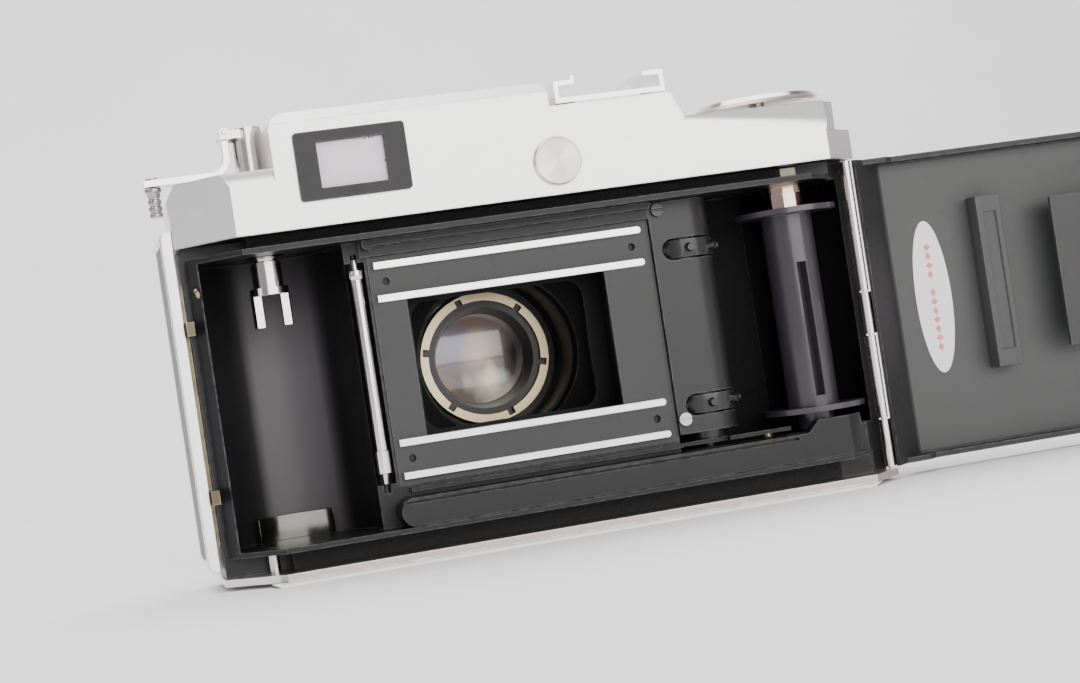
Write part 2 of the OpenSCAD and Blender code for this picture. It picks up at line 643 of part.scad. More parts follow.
// Textured covering: front left, front right and the left end panel's inlay
module body_leather() {
    low = base_t + 0.9;
    high = seam_z - 0.4;
    color([0.11, 0.11, 0.11]) {
        difference() {
            translate([0, 0, low]) linear_extrude(high - low) difference() {
                body_plan(0.02);
                body_plan(skin_t + 0.02);
                translate([-far, -far]) square([2 * far, far + hinge_y + 3.6]);
                translate([left_x - 1, -far]) square([2.2, 2 * far]);
                translate([right_x - 1, -far]) square([2.2, far + hinge_y + 6]);
            }
            barrel(0, axis_z, 0, front_y + 5, standard_r + 0.3);
            slab([-standard_r * 0.62, 0, 0], [standard_r * 0.62, front_y + 5, seam_z + 1]);
            for (p = [lever_pivot, timer_pivot]) barrel(p[0], p[1], front_y - 4, front_y + 1, 1.8);
        }
        slab([panel_x + 0.1, panel_back_y + 1.3, panel_low_z + 2.3], [panel_x + 0.68, panel_front_y - 1.3, panel_top_z - 2.3]);
    }
}

// ---------- film transport pieces seen with the door open ----------

module sprocket_cover() {
    left = gate_right_x + 1.7;
    bend_x = sprocket_x - 1.2;
    low = axis_z - half_film - 1.6;
    high = axis_z + half_film + 5.4;
    cover_r = sprocket_r - 0.45;
    slot_half = 1.95;
    color([0.1, 0.1, 0.105]) difference() {
        union() {
            slab([left, film_y - 0.05, low], [bend_x + 1.2, film_y + 0.65, high]);
            // curved lip that follows the wheels down to the chamber's edge
            intersection() {
                difference() {
                    post(sprocket_x, film_y + cover_r - 0.05, low, high, cover_r);
                    post(sprocket_x, film_y + cover_r - 0.05, low - 1, high + 1, cover_r - 0.7);
                }
                slab([sprocket_x, back_y, low], [far, film_y + cover_r - 0.8, high]);
            }
        }
        for (s = [-1, 1]) {
            slab([left + 1.7 + slot_half, back_y, axis_z + s * sprocket_row - slot_half],
                [far, shaft_y + 1, axis_z + s * sprocket_row + slot_half]);
            barrel(left + 1.7 + slot_half, axis_z + s * sprocket_row, back_y, shaft_y + 1, slot_half);
        }
        for (p = cover_screw_places) barrel(p[0], p[1], film_y - 2, film_y + 2, 0.75);
    }
}

cover_screw_places = [[gate_right_x + 3.4, axis_z + half_film + 4], [gate_right_x + 2.9, axis_z - half_film + 1.1]];

// Small slotted screws inside the film chamber
module chamber_screws() {
    color([0.2, 0.2, 0.2]) {
        for (p = cover_screw_places) difference() {
            union() {
                barrel(p[0], p[1], film_y - 0.75, film_y - 0.07, 1.2);
                barrel(p[0], p[1], film_y - 0.1, film_y + 1.4, 0.7);
            }
            translate([p[0] - 2, film_y - 1.2, p[1] - 0.15]) cube([4, 0.75, 0.3]);
        }
    }
}

module cartridge_clip() {
    clip_r = chamber_r - 1.2;
    color([0.7, 0.7, 0.68]) intersection() {
        difference() {
            post(cartridge_x, shaft_y, floor_z + 0.02, floor_z + 4.4, clip_r);
            post(cartridge_x, shaft_y, floor_z - 1, floor_z + 6, clip_r - 0.4);
        }
        slab([cartridge_x - 7, shaft_y, floor_z], [cartridge_x + 6.5, front_y, floor_z + 5]);
    }
}

module light_seals() {
    color([0.04, 0.04, 0.04]) {
        slab([cartridge_x - 3.5, back_y + 6.2, ridge_top_z + 0.05], [plunger_x - 2.2, back_y + 6.95, seam_z - 0.05]);
        slab([cartridge_x - 3.5, back_y + 6.2, base_t + 0.05], [takeup_x + 0.5, back_y + 6.95, ridge_low_z - 0.05]);
    }
}

plunger_x = takeup_x - 1.2;

module reset_plunger() {
    color([0.93, 0.9, 0.75]) slab([plunger_x - 1.5, back_y + 6, seam_z - 1.7],
        [plunger_x + 1.5, film_y + 1.4, seam_z - 0.2]);
}

module rewind_button() {
    color([0.7, 0.7, 0.7]) difference() {
        post(sprocket_x, shaft_y, 0.2, gear_z - 0.9 - 1.6, 2.2);
        translate([sprocket_x, shaft_y, 0.1]) cylinder(r = 1.4, h = 0.5);
    }
}

module guide_roller() {
    low = axis_z - half_film;
    high = axis_z + half_film + 0.7;
    color([0.75, 0.74, 0.74]) {
        post(roller_x, roller_y, low - 1.9, high + 1.9, 0.6);
        post(roller_x, roller_y, low, high, 1.05);
        post(roller_x, roller_y, low, low + 4, 1.3);
        post(roller_x, roller_y, high - 1.6, high, 1.3);
    }
}

module sprocket() {
    color([0.12, 0.12, 0.12]) {
        post(sprocket_x, shaft_y, gear_z + 0.02, seam_z + 0.6, 1.5);
        post(sprocket_x, shaft_y, ledge_z + 0.6, axis_z + half_film + 2.9, sprocket_r - 2.6);
        for (s = [-1, 1]) translate([sprocket_x, shaft_y, axis_z + s * sprocket_row]) {
            translate([0, 0, -1.6]) cylinder(r = sprocket_r - 0.1, h = 3.2);
            for (i = [0 : sprocket_teeth - 1]) rotate([0, 0, -90 + i * 360 / sprocket_teeth])
                rotate([90, 0, 90]) translate([0, 0, sprocket_r - 0.5]) cylinder(r1 = 0.95, r2 = 0.6, h = 1.7);
        }
    }
    color([0.7, 0.6, 0.35]) translate([sprocket_x, shaft_y, gear_z]) gear(teeth_a, gear_t, 1);
}

module idler_gear() {
    color([0.7, 0.6, 0.35]) {
        translate([idler_x, shaft_y, gear_z]) gear(teeth_i, gear_t, 0.8, 180 / teeth_i);
        post(idler_x, shaft_y, gear_z + 0.02, gear_z + gear_t + 3, 1);
    }
}

module takeup_spool() {
    low = axis_z - half_film - 1.3;
    high = axis_z + half_film + 1.2;
    color([0.07, 0.07, 0.07]) {
        difference() {
            union() {
                post(takeup_x, shaft_y, low, low + 1, spool_flange_r);
                post(takeup_x, shaft_y, high - 1, high, spool_flange_r);
                post(takeup_x, shaft_y, low, high, spool_core_r);
                post(takeup_x, shaft_y, gear_z + 0.02, low + eps, 2);
            }
            slab([takeup_x - 0.9, back_y, axis_z - half_film + 1.5], [takeup_x + 0.9, shaft_y - 1.5, axis_z + half_film - 8.8]);
        }
        post(takeup_x, shaft_y, ledge_z + 0.2, low + 0.1, 3.5);
    }
    color([0.7, 0.6, 0.35]) translate([takeup_x, shaft_y, gear_z]) gear(teeth_b, gear_t, 1);
}

// Flatted brass nut that drives the spool from above
module drive_nut() {
    low = axis_z + half_film + 1.2;
    color([0.72, 0.55, 0.4]) {
        translate([takeup_x, shaft_y, low + 0.01]) cylinder(r = 3.7, h = ceiling_z - low - 1.4, $fn = 10);
        post(takeup_x, shaft_y, ceiling_z - 1.5, ceiling_z + 0.6, 3.9);
        post(takeup_x, shaft_y, ceiling_z, seam_z + 0.6, 2);
    }
}

// ---------- rewind ----------

fork_low_z = axis_z + 10.7;
fork_r = 3.45;
hub_top_z = housing_z - 0.3;
crank_pin_x = cartridge_x - hub_r - 1.45;
crank_pin_z = hub_top_z + 0.1;
arm_w = 4.6;
arm_t = 1.2;
arm_z = deck_z + 0.5;
handle_x = left_x - 1.8;

module rewind_hub() {
    color([0.78, 0.76, 0.74]) difference() {
        union() {
            post(cartridge_x, shaft_y, seam_z + 1.6, hub_top_z, hub_r);
            // ears and pin of the folding arm
            for (s = [-1, 1]) slab([crank_pin_x - 0.8, shaft_y + s * 3.1 - 0.45, crank_pin_z - 1.9],
                [cartridge_x - 1.2, shaft_y + s * 3.1 + 0.45, crank_pin_z - 0.5]);
            for (s = [-1, 1]) barrel(crank_pin_x, crank_pin_z - 0.75, shaft_y + s * 3.1 - 0.45,
                shaft_y + s * 3.1 + 0.45, 0.9);
            slab([cartridge_x - 2, shaft_y - 3.2, crank_pin_z - 1.9], [cartridge_x - 1.2, shaft_y + 3.2, crank_pin_z - 0.5]);
            barrel(crank_pin_x, crank_pin_z - 0.75, shaft_y - 3.6, shaft_y + 3.6, 0.45);
        }
        post(cartridge_x, shaft_y, 0, hub_top_z - 1.2, 1.6 + run);
    }
}

module rewind_fork() {
    tip = 1.5;
    color([0.8, 0.78, 0.76]) difference() {
        union() {
            post(cartridge_x, shaft_y, fork_low_z + 6, hub_top_z - 1.4, 1.6);
            post(cartridge_x, shaft_y, axis_z + 17, seam_z + 1.3, 2.45);
            post(cartridge_x, shaft_y, axis_z + 17, axis_z + 22, 2.65);
            post(cartridge_x, shaft_y, axis_z + 16.2, axis_z + 17.5, 3.4);
            post(cartridge_x, shaft_y, fork_low_z, axis_z + 16.3, fork_r);
        }
        // gap between the two prongs
        slab([cartridge_x - 1.7, -far, fork_low_z - 1], [cartridge_x + 1.7, far, axis_z + 16.2]);
        for (s = [-1, 1]) slab([cartridge_x - 9, shaft_y + s * 4 - 2.3, fork_low_z - 1],
            [cartridge_x + 9, shaft_y + s * 4 + 2.3, axis_z + 16.2]);
        translate([cartridge_x, shaft_y, fork_low_z - eps]) cylinder(r1 = 2.2, r2 = 1, h = tip);
        difference() {
            post(cartridge_x, shaft_y, axis_z + 22, axis_z + 22.5, 4);
            post(cartridge_x, shaft_y, axis_z + 21, axis_z + 23, 2.1);
        }
    }
}

// Arm that lies along the deck and stands up beside the hub, with a bend between
module crank_arm() {
    bend = 2.5;
    px = crank_pin_x;
    pz = crank_pin_z - 0.75;
    color([0.84, 0.84, 0.83]) difference() {
        union() {
            along_y(shaft_y - arm_w / 2, shaft_y + arm_w / 2) {
                translate([px - arm_t / 2, arm_z + arm_t + bend]) square([arm_t, pz - arm_z - arm_t - bend]);
                translate([handle_x - 1.6, arm_z]) square([px - arm_t / 2 - bend - handle_x + 1.6, arm_t]);
                translate([px - arm_t / 2 - bend, arm_z + arm_t + bend]) intersection() {
                    difference() {
                        circle(r = bend + arm_t);
                        circle(r = bend);
                    }
                    translate([0, -20]) square([20, 20]);
                }
            }
            barrel(px, pz, shaft_y - arm_w / 2, shaft_y + arm_w / 2, 0.95);
        }
        barrel(px, pz, shaft_y - 9, shaft_y + 9, 0.45 + run);
        post(handle_x, shaft_y, arm_z - 1, arm_z + arm_t + 1, 0.6 + run);
    }
}

module crank_handle() {
    color([0.45, 0.43, 0.42]) {
        post(handle_x, shaft_y, arm_z - 0.9, arm_z - 0.1, 1.45);
        difference() {
            post(handle_x, shaft_y, arm_z - 5.2, arm_z - 0.85, 1.15);
            for (k = [0 : 2]) difference() {
                post(handle_x, shaft_y, arm_z - 4.5 + k * 1.2, arm_z - 4.1 + k * 1.2, 2);
                post(handle_x, shaft_y, arm_z - 5, arm_z, 0.95);
            }
        }
        post(handle_x, shaft_y, arm_z - 0.2, arm_z + arm_t + 0.1, 0.6);
        post(handle_x, shaft_y, arm_z + arm_t + 0.08, arm_z + arm_t + 0.5, 1.1);
    }
}

// ---------- door latch ----------

latch_travel = 2;
tab_places = [axis_z + 12.1, axis_z - 17];

module latch_bar() {
    color([0.66, 0.55, 0.35]) {
        slab([left_x + 0.02, channel_y + 0.1, base_t + 6], [left_x + 0.58, channel_y + 3.2, seam_z - 6]);
        for (z = tab_places) {
            slab([left_x + 0.02, panel_back_y - 1.6, z - 1.25], [left_x + 0.58, channel_y + 0.2, z + 1.25]);
            slab([left_x + 0.02, panel_back_y - 1.6, z - 1.25], [left_x + 1.5, panel_back_y - 0.6, z + 1.25]);
        }
    }
}

// ---------- controls on top ----------

module shutter_release() {
    color([0.85, 0.85, 0.84]) difference() {
        union() {
            post(release_x, release_y, seam_z + 3.4, deck_z + 2.6, 2.6);
            post(release_x, release_y, seam_z + 3.4, deck_z - 2.6, 3.3);
        }
        post(release_x, release_y, deck_z - 1.4, deck_z + 5, 1.25);
    }
}

module frame_counter() {
    color([0.8, 0.8, 0.8]) {
        post(dial_x, dial_y, seam_z + 3, deck_z + 1.2, 1.5);
        post(dial_x, dial_y, seam_z + 2.4, seam_z + 3.6, 3);
        translate([dial_x, dial_y, deck_z + 1.1]) cylinder(r1 = dial_r - 0.5, r2 = dial_r, h = 0.6);
        translate([dial_x, dial_y, deck_z + 1.69]) cylinder(r1 = dial_r, r2 = dial_r - 0.8, h = 0.8);
    }
}

// ---------- lens and shutter ----------

module lens_standard() {
    color([0.83, 0.83, 0.82]) difference() {
        union() {
            slab([-standard_r * 0.6, front_y + 0.02, base_t + 2.2], [standard_r * 0.6, front_y + 2.4, seam_z - 0.6]);
            barrel(0, axis_z, front_y + 0.02, standard_y - 1, standard_r);
            barrel(0, axis_z, standard_y - 1.01, standard_y, standard_r, standard_r - 1);
        }
        barrel(0, axis_z, front_y - 1, standard_y + 1, lens_hole_r);
    }
}

module shutter_housing() {
    shell_r = standard_r - 1.4;
    color([0.14, 0.14, 0.14]) difference() {
        union() {
            barrel(0, axis_z, standard_y + 0.02, housing_y, shell_r);
            barrel(0, axis_z, housing_y - eps, barrel_y - 0.6, front_glass_r + 3);
        }
        barrel(0, axis_z, standard_y - 1, blade_y - 0.4, rear_glass_r + 3.4);
        barrel(0, axis_z, blade_y - 0.5, blade_y + 1.9, shell_r - 2);
        barrel(0, axis_z, blade_y + 1.8, barrel_y, front_glass_r + 0.6);
        for (i = [0 : 4]) rotate_about_lens(i * 72 + blade_phase) barrel(pivot_r, axis_z, blade_y - 2, blade_y + 3.4, 0.7);
    }
}

module rotate_about_lens(a) {
    translate([0, 0, axis_z]) rotate([0, a, 0]) translate([0, 0, -axis_z]) children();
}

blade_phase = 20;

// One curved blade with its pin; the five lie at their own levels
module shutter_blade(i) {
    y = blade_y + 0.05 + i * 0.34;
    color([0.5, 0.42, 0.36]) rotate_about_lens(i * 72 + blade_phase) {
        intersection() {
            barrel(0, axis_z, y, y + 0.12, pivot_r + 0.9);
            union() {
                along_y(y, y + 0.12) translate([0, axis_z])
                    polygon([[pivot_r + 1.3, -1.6], [pivot_r + 1.3, 1.6], [pivot_r - 3, 4.4], [2, 8.4], [-3.6, 6.6],
                        [-2.2, 0.6], [2.4, -3.2], [8, -5]]);
            }
        }
        // the last blade's pin points forward so that the first can pass under it
        barrel(pivot_r, axis_z, i < 4 ? blade_y - 1.6 : y, i < 4 ? y + 0.2 : blade_y + 3.2, 0.7 - run);
    }
}

module rear_cell() {
    color([0.06, 0.06, 0.06]) difference() {
        union() {
            barrel(0, axis_z, retainer_y + 1.2, blade_y - 0.6, rear_glass_r + 3.2);
            barrel(0, axis_z, retainer_y + 1.2, standard_y, retainer_r - 0.2);
        }
        barrel(0, axis_z, retainer_y - 1, retainer_y + 5.5, retainer_r - 2.4, rear_glass_r + 0.1);
        barrel(0, axis_z, retainer_y + 5.4, blade_y, rear_glass_r - 0.8);
        barrel(0, axis_z, retainer_y + 5.4, retainer_y + 7.6, rear_glass_r + 0.05);
    }
}

// A round lens element: a turned profile, domed on both sides
module element(y0, thick, r, bulge) {
    steps = 8;
    translate([0, y0, axis_z]) rotate([-90, 0, 0]) rotate_extrude() polygon(concat(
        [for (i = [0 : steps]) [r * i / steps, -bulge * (1 - pow(i / steps, 2))]],
        [for (i = [0 : steps]) [r * (1 - i / steps), thick + bulge * (1 - pow(1 - i / steps, 2))]]));
}

module rear_glass() {
    color([0.6, 0.5, 0.35, 0.5]) element(retainer_y + 5.7, 1.4, rear_glass_r, 0.7);
}

module front_glass() {
    color([0.6, 0.6, 0.75, 0.5]) element(barrel_y - 4, 2, front_glass_r, 1.6);
}

module retaining_ring() {
    color([0.72, 0.66, 0.52]) difference() {
        ring_y(retainer_y, retainer_y + 1.15, retainer_r - 1.7, retainer_r);
        for (i = [0 : 5]) rotate_about_lens(i * 60 + 12)
            translate([retainer_r - 2.2, retainer_y - 0.5, axis_z - 0.6]) cube([1.7, 2, 1.2]);
    }
}

module grip_ring(y0, y1, r_in, r_out, grooves) {
    difference() {
        ring_y(y0, y1, r_in, r_out);
        for (i = [0 : grooves - 1]) rotate_about_lens(i * 360 / grooves)
            translate([r_out - 0.35, y0 + 1, axis_z - 0.4]) cube([1, y1 - y0 - 2, 0.8]);
    }
}

ring_in_r = front_glass_r + 3 + run;

module speed_ring() {
    color([0.8, 0.8, 0.8]) grip_ring(housing_y + 0.1, housing_y + 3.4, ring_in_r, standard_r - 2, 36);
}

module aperture_ring() {
    color([0.75, 0.75, 0.75]) grip_ring(housing_y + 3.6, housing_y + 6.6, ring_in_r, standard_r - 4, 30);
}

module focus_ring() {
    color([0.82, 0.82, 0.8]) grip_ring(front_y + 8.1 - 5.2, standard_y - 1.6, standard_r + run, standard_r + 2.4, 28);
}

module lens_barrel() {
    color([0.1, 0.1, 0.1]) difference() {
        union() {
            barrel(0, axis_z, barrel_y - 5, barrel_y - 0.5, front_glass_r + 0.55);
            barrel(0, axis_z, barrel_y - 0.55, barrel_y + 3, front_glass_r + 5.5, front_glass_r + 4.6);
        }
        barrel(0, axis_z, barrel_y - 6, barrel_y - 4.55, front_glass_r - 1.5);
        barrel(0, axis_z, barrel_y - 4.6, barrel_y - 1.9, front_glass_r + 0.03);
        barrel(0, axis_z, barrel_y - 2, barrel_y + 0.3, front_glass_r + 0.03);
        barrel(0, axis_z, barrel_y + 0.2, barrel_y + 1.2, front_glass_r + 0.03, filter_r - 0.6);
        barrel(0, axis_z, barrel_y + 1.19, barrel_y + 4, filter_r);
    }
}

module advance_lever() {
    px = lever_pivot[0];
    pz = lever_pivot[1];
    color([0.82, 0.82, 0.82]) {
        barrel(px, pz, front_y + 0.1, front_y + 4.5, 3.6);
        barrel(px, pz, front_y - 4, front_y + 0.2, 1.2);
        along_y(front_y + 1.6, front_y + 3.2) polygon([[px - 2.8, pz], [px + 2.8, pz], [px + 1.4, pz - 22], [px - 3.4, pz - 22]]);
        translate([px - 1, front_y + 1.6, pz - 22]) rotate([-90, 0, 0]) cylinder(r = 2.4, h = 3.4);
    }
}

module timer_lever() {
    px = timer_pivot[0];
    pz = timer_pivot[1];
    color([0.8, 0.8, 0.8]) {
        barrel(px, pz, front_y + 0.1, front_y + 3.6, 2.4);
        barrel(px, pz, front_y - 4, front_y + 0.2, 1.2);
        along_y(front_y + 1.2, front_y + 2.4) polygon([[px - 1.6, pz], [px + 1.6, pz], [px + 1, pz - 11], [px - 1, pz - 11]]);
    }
}

// ---------- back door, drawn closed and turned to its open rest ----------

module opened() {
    translate([hinge_x, hinge_y, 0]) rotate([0, 0, 180 + door_turn]) translate([-hinge_x, -hinge_y, 0]) children();
}

door_end_x = left_x + 1.0;
door_knee_x = left_x + left_bevel;
door_hip_x = hinge_x - 0.7 - (hinge_y - 0.2 - back_y);

// Strip of the closed door seen from above: outer line moved in by a, thick t
module door_plan(a, t) {
    s = 0.4142;
    k = a * s;
    m = (a + t) * s;
    end_y = back_y + door_knee_x - door_end_x;
    polygon([[hinge_x - 0.7, hinge_y - 0.2 + a * 1.4142], [door_hip_x - k, back_y + a], [door_knee_x + k, back_y + a],
        [door_end_x, end_y + a * 1.4142], [door_end_x, end_y + (a + t) * 1.4142],
        [door_knee_x + m, back_y + a + t], [door_hip_x - m, back_y + a + t],
        [hinge_x - 0.7 - t * 0.7071, hinge_y - 0.2 + a * 1.4142 + t * 0.7071]]);
}

module door_shell() {
    rim = 4.2;
    color([0.1, 0.1, 0.1]) opened() difference() {
        union() {
            translate([0, 0, door_low_z]) linear_extrude(door_top_z - door_low_z) door_plan(0.5, door_t);
            // flanges that enter the channels above and below the film chamber
            for (z = [door_low_z, door_top_z - 1]) translate([0, 0, z]) linear_extrude(1) intersection() {
                door_plan(0.6, rim);
                union() {
                    translate([-far, -far]) square([far + cartridge_x - 3.4, far + channel_y - 0.2]);
                    translate([-far, -far]) square([far + hinge_x - 4, far + back_y + 6.7]);
                }
            }
            // flange at the latch end
            slab([door_end_x, back_y + 10.4, door_low_z], [door_end_x + 0.5, channel_y - 0.2, door_top_z]);
        }
        post(hinge_x, hinge_y, 0, far, knuckle_r + 0.35);
        // windows for the latch hooks, open to the edge below them
        for (z = tab_places) {
            slab([door_end_x - 1, panel_back_y - 1.9, z - 1.5 - latch_travel], [door_end_x + 2, panel_back_y - 0.1, z + 1.5]);
            slab([door_end_x - 1, panel_back_y - 1.9, z - 1.5 - latch_travel], [door_end_x + 2, far, z + 1.5 - latch_travel]);
        }
    }
}

module hinge_pin() {
    gap = 0.15;
    color([0.78, 0.75, 0.72]) {
        post(hinge_x, hinge_y, door_low_z - 0.2, door_top_z + 0.2, hinge_pin_r);
        levels = concat([door_low_z - 0.2], knuckle_cuts, [door_top_z + 0.2]);
        for (k = [[1, 2], [3, 4]]) {
            post(hinge_x, hinge_y, levels[k[0]] + gap, levels[k[1]] - gap, knuckle_r);
            slab([hinge_x - 0.3, hinge_y + 0.2, levels[k[0]] + gap], [hinge_x + 0.85, hinge_y + 3.1, levels[k[1]] - gap]);
        }
    }
}

// Knuckles on the door's side, folded over its edge
module door_hinge_leaf() {
    gap = 0.15;
    levels = concat([door_low_z], knuckle_cuts);
    color([0.78, 0.75, 0.72]) opened() difference() {
        for (k = [0, 2]) {
            post(hinge_x, hinge_y, levels[k] + gap, levels[k + 1] - gap, knuckle_r);
            translate([hinge_x, hinge_y, levels[k] + gap]) rotate([0, 0, 135])
                translate([0.5, 0, 0]) cube([0.3, 4.4, levels[k + 1] - levels[k] - 2 * gap]);
        }
        post(hinge_x, hinge_y, 0, far, hinge_pin_r + run);
    }
}

module door_leather() {
    color([0.11, 0.11, 0.11]) opened() translate([0, 0, door_low_z + 0.8])
        linear_extrude(door_top_z - door_low_z - 1.6) intersection() {
            door_plan(0, 0.48);
            translate([left_x + 2.5, -far]) square([hinge_x - left_x - 6.8, 2 * far]);
        }
}

plate_half = half_film - 3.4;
plate_left_x = -(gate_w / 2 + 6.9);
plate_right_x = gate_w / 2 + 8.6;

module pressure_plate() {
    color([0.08, 0.08, 0.08]) opened() difference() {
        union() {
            slab([plate_left_x, film_y - 1.1, axis_z - plate_half], [plate_right_x, film_y - 0.3, axis_z + plate_half]);
            for (s = [-1, 1]) slab([plate_left_x + 1, film_y - 2.4, axis_z + s * (plate_half - 0.4) - 0.4],
                [plate_right_x - 1, film_y - 1, axis_z + s * (plate_half - 0.4) + 0.4]);
        }
        for (x = plate_rivets, s = [-1, 1]) barrel(x, axis_z + s * 6, film_y - 3, film_y + 1, 0.7);
    }
}

plate_rivets = [plate_left_x + 12, plate_right_x - 12];

// Two bowed leaf springs with rivets through the plate
module pressure_springs() {
    back = back_y + 0.5 + door_t;
    color([0.75, 0.73, 0.68]) opened() for (s = [-1, 1]) translate([0, 0, axis_z + s * 6]) {
        slab([plate_rivets[0] - 2, film_y - 1.4, -2], [plate_rivets[0] + 2, film_y - 1.12, 2]);
        slab([plate_rivets[1] - 2, film_y - 1.4, -2], [plate_rivets[1] + 2, film_y - 1.12, 2]);
        along_y_band(plate_rivets[0], plate_rivets[1], film_y - 1.4, back + 0.02);
        for (x = plate_rivets) translate([x, 0, 0]) barrel(0, 0, film_y - 1.6, film_y - 0.35, 0.65);
    }
}

// Leaf from (x0, y_top) down to y_low at mid-span and back, 3 mm tall in Z
module along_y_band(x0, x1, y_top, y_low) {
    mid = (x0 + x1) / 2;
    t = 0.28;
    translate([0, 0, -1.5]) linear_extrude(3) polygon([[x0 - 0.5, y_top + t], [x0, y_top], [mid - 4, y_low], [mid + 4, y_low],
        [x1, y_top], [x1 + 0.5, y_top + t], [x1 - 0.6, y_top + t], [mid + 3.8, y_low + t], [mid - 3.8, y_low + t], [x0 + 0.6, y_top + t]]);
}

// Raised rib that holds the film round the sprocket
module film_guide_rib() {
    right = hinge_x - 25.5;
    left = hinge_x - 30.5;
    face_y = film_y - 2.3;
    color([0.16, 0.16, 0.165]) opened() difference() {
        slab([left, back_y + 0.52 + door_t, axis_z - 16.2], [right, face_y, axis_z + 16.2]);
        slab([left + 1.2, face_y - 0.5, axis_z - 13], [right - 1.2, face_y + 1, axis_z + 13]);
    }
}

module film_label() {
    label_x = hinge_x - 16.2;
    back = back_y + 0.52 + door_t;
    color([0.95, 0.94, 0.93]) opened() translate([label_x, 0, axis_z - 1.3]) along_y(back, back + 0.1)
        polygon([for (a = [0 : 7.5 : 352.5]) [3.6 * cos(a), 14.4 * sin(a)]]);
}

body_casting();
film_gate();
film_rails();
light_baffle();
gear_housing();
top_cover();
viewfinder_frame();
finder_glasses();
finder_block();
front_window_plate();
adjuster_cap();
accessory_shoe();
case_screws();
chamber_screws();
side_panel();
base_plate();
tripod_bush();
body_leather();
lens_standard();
shutter_housing();
rear_cell();
rear_glass();
retaining_ring();
sprocket_cover();
cartridge_clip();
hinge_pin();
light_seals();
shutter_release();
frame_counter();
rewind_hub();
rewind_fork();
crank_arm();
crank_handle();
latch_bar();
guide_roller();
sprocket();
idler_gear();
takeup_spool();
drive_nut();
reset_plunger();
rewind_button();
door_shell();
door_hinge_leaf();
door_leather();
pressure_plate();
pressure_springs();
film_guide_rib();
film_label();
speed_ring();
aperture_ring();
focus_ring();
lens_barrel();
front_glass();
advance_lever();
timer_lever();
for (i = [1 : 5])
    shutter_blade(i - 1);
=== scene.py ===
import bpy, bmesh, math
from mathutils import Matrix, Quaternion, Vector


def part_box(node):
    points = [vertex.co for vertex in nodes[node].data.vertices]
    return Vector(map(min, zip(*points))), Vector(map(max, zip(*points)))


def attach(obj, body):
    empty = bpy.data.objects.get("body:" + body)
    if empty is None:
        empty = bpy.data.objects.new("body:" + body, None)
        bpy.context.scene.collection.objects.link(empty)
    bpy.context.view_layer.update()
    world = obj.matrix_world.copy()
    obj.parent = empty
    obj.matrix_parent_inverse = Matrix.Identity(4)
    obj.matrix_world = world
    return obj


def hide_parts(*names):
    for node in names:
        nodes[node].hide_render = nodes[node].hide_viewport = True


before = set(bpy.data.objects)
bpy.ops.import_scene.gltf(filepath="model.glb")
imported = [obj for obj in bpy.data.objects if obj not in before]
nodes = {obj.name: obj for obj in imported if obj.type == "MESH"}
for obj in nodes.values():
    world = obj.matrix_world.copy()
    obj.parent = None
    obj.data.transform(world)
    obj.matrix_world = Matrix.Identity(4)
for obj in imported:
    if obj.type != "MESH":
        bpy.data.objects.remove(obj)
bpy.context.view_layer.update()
MM = 0.001

# ---------------------------------------------------------------- camera
# A short telephoto held level with the film opening, a little to the left of the
# body and rolled, so that the back and the open door fill the frame.
view_line = Vector((0.226, 0.9741, 0.0069))
camera_roll = -8.575
camera_data = bpy.data.cameras.new("camera")
camera_data.sensor_width = 36
camera_data.lens = 69.45
camera = bpy.data.objects.new("camera", camera_data)
camera.location = Vector((-79.0, -367.1, 32.0)) * MM
camera.rotation_mode = "QUATERNION"
camera.rotation_quaternion = (view_line.to_track_quat("-Z", "Y")
                              @ Quaternion((0, 0, 1), math.radians(camera_roll)))
bpy.context.scene.collection.objects.link(camera)
bpy.context.scene.camera = camera


# ---------------------------------------------------------------- paper sweep and light
# A pale paper sweep, flat under the camera and curved up behind it, lit by large
# soft lamps above and beside the viewer.
def mesh_object(name, bm):
    mesh = bpy.data.meshes.new(name)
    bm.to_mesh(mesh)
    bm.free()
    thing = bpy.data.objects.new(name, mesh)
    bpy.context.scene.collection.objects.link(thing)
    return thing


def start_material(name):
    """An empty node material: the material, its Principled shader and Object coordinates."""
    material = bpy.data.materials.new(name)
    material.use_nodes = True
    shader = material.node_tree.nodes["Principled BSDF"]
    place = material.node_tree.nodes.new("ShaderNodeTexCoord").outputs["Object"]
    return material, shader, place


def add(owner, kind, **inputs):
    """Adds a node to a material or group; _0, _1 name a socket by number. A value that is
    another node's output is joined, and any other value is set."""
    tree = owner if isinstance(owner, bpy.types.NodeTree) else owner.node_tree
    node = tree.nodes.new(kind)
    for key, value in inputs.items():
        socket = node.inputs[int(key[1:]) if key[0] == "_" else key.replace("_", " ")]
        if isinstance(value, bpy.types.NodeSocket):
            tree.links.new(value, socket)
        else:
            socket.default_value = value
    return node


def ramp(material, value, *stops):
    """A colour ramp over value, with stops of (position, grey or colour)."""
    node = add(material, "ShaderNodeValToRGB", Fac=value)
    points = node.color_ramp.elements
    while len(points) < len(stops):
        points.new(0.5)
    for point, (position, colour) in zip(points, stops):
        point.position = position
        point.color = (*colour, 1) if isinstance(colour, tuple) else (colour, colour, colour, 1)
    return node.outputs["Color"]


def join(material, source, socket):
    material.node_tree.links.new(source, socket)


def bump(material, shader, height, depth_mm, under=None):
    """Raises the surface by depth_mm where height is 1, over an earlier bump if given."""
    node = add(material, "ShaderNodeBump", Height=height)
    node.inputs["Distance"].default_value = depth_mm * MM
    if under:
        join(material, under, node.inputs["Normal"])
    join(material, node.outputs["Normal"], shader.inputs["Normal"])
    return node.outputs["Normal"]


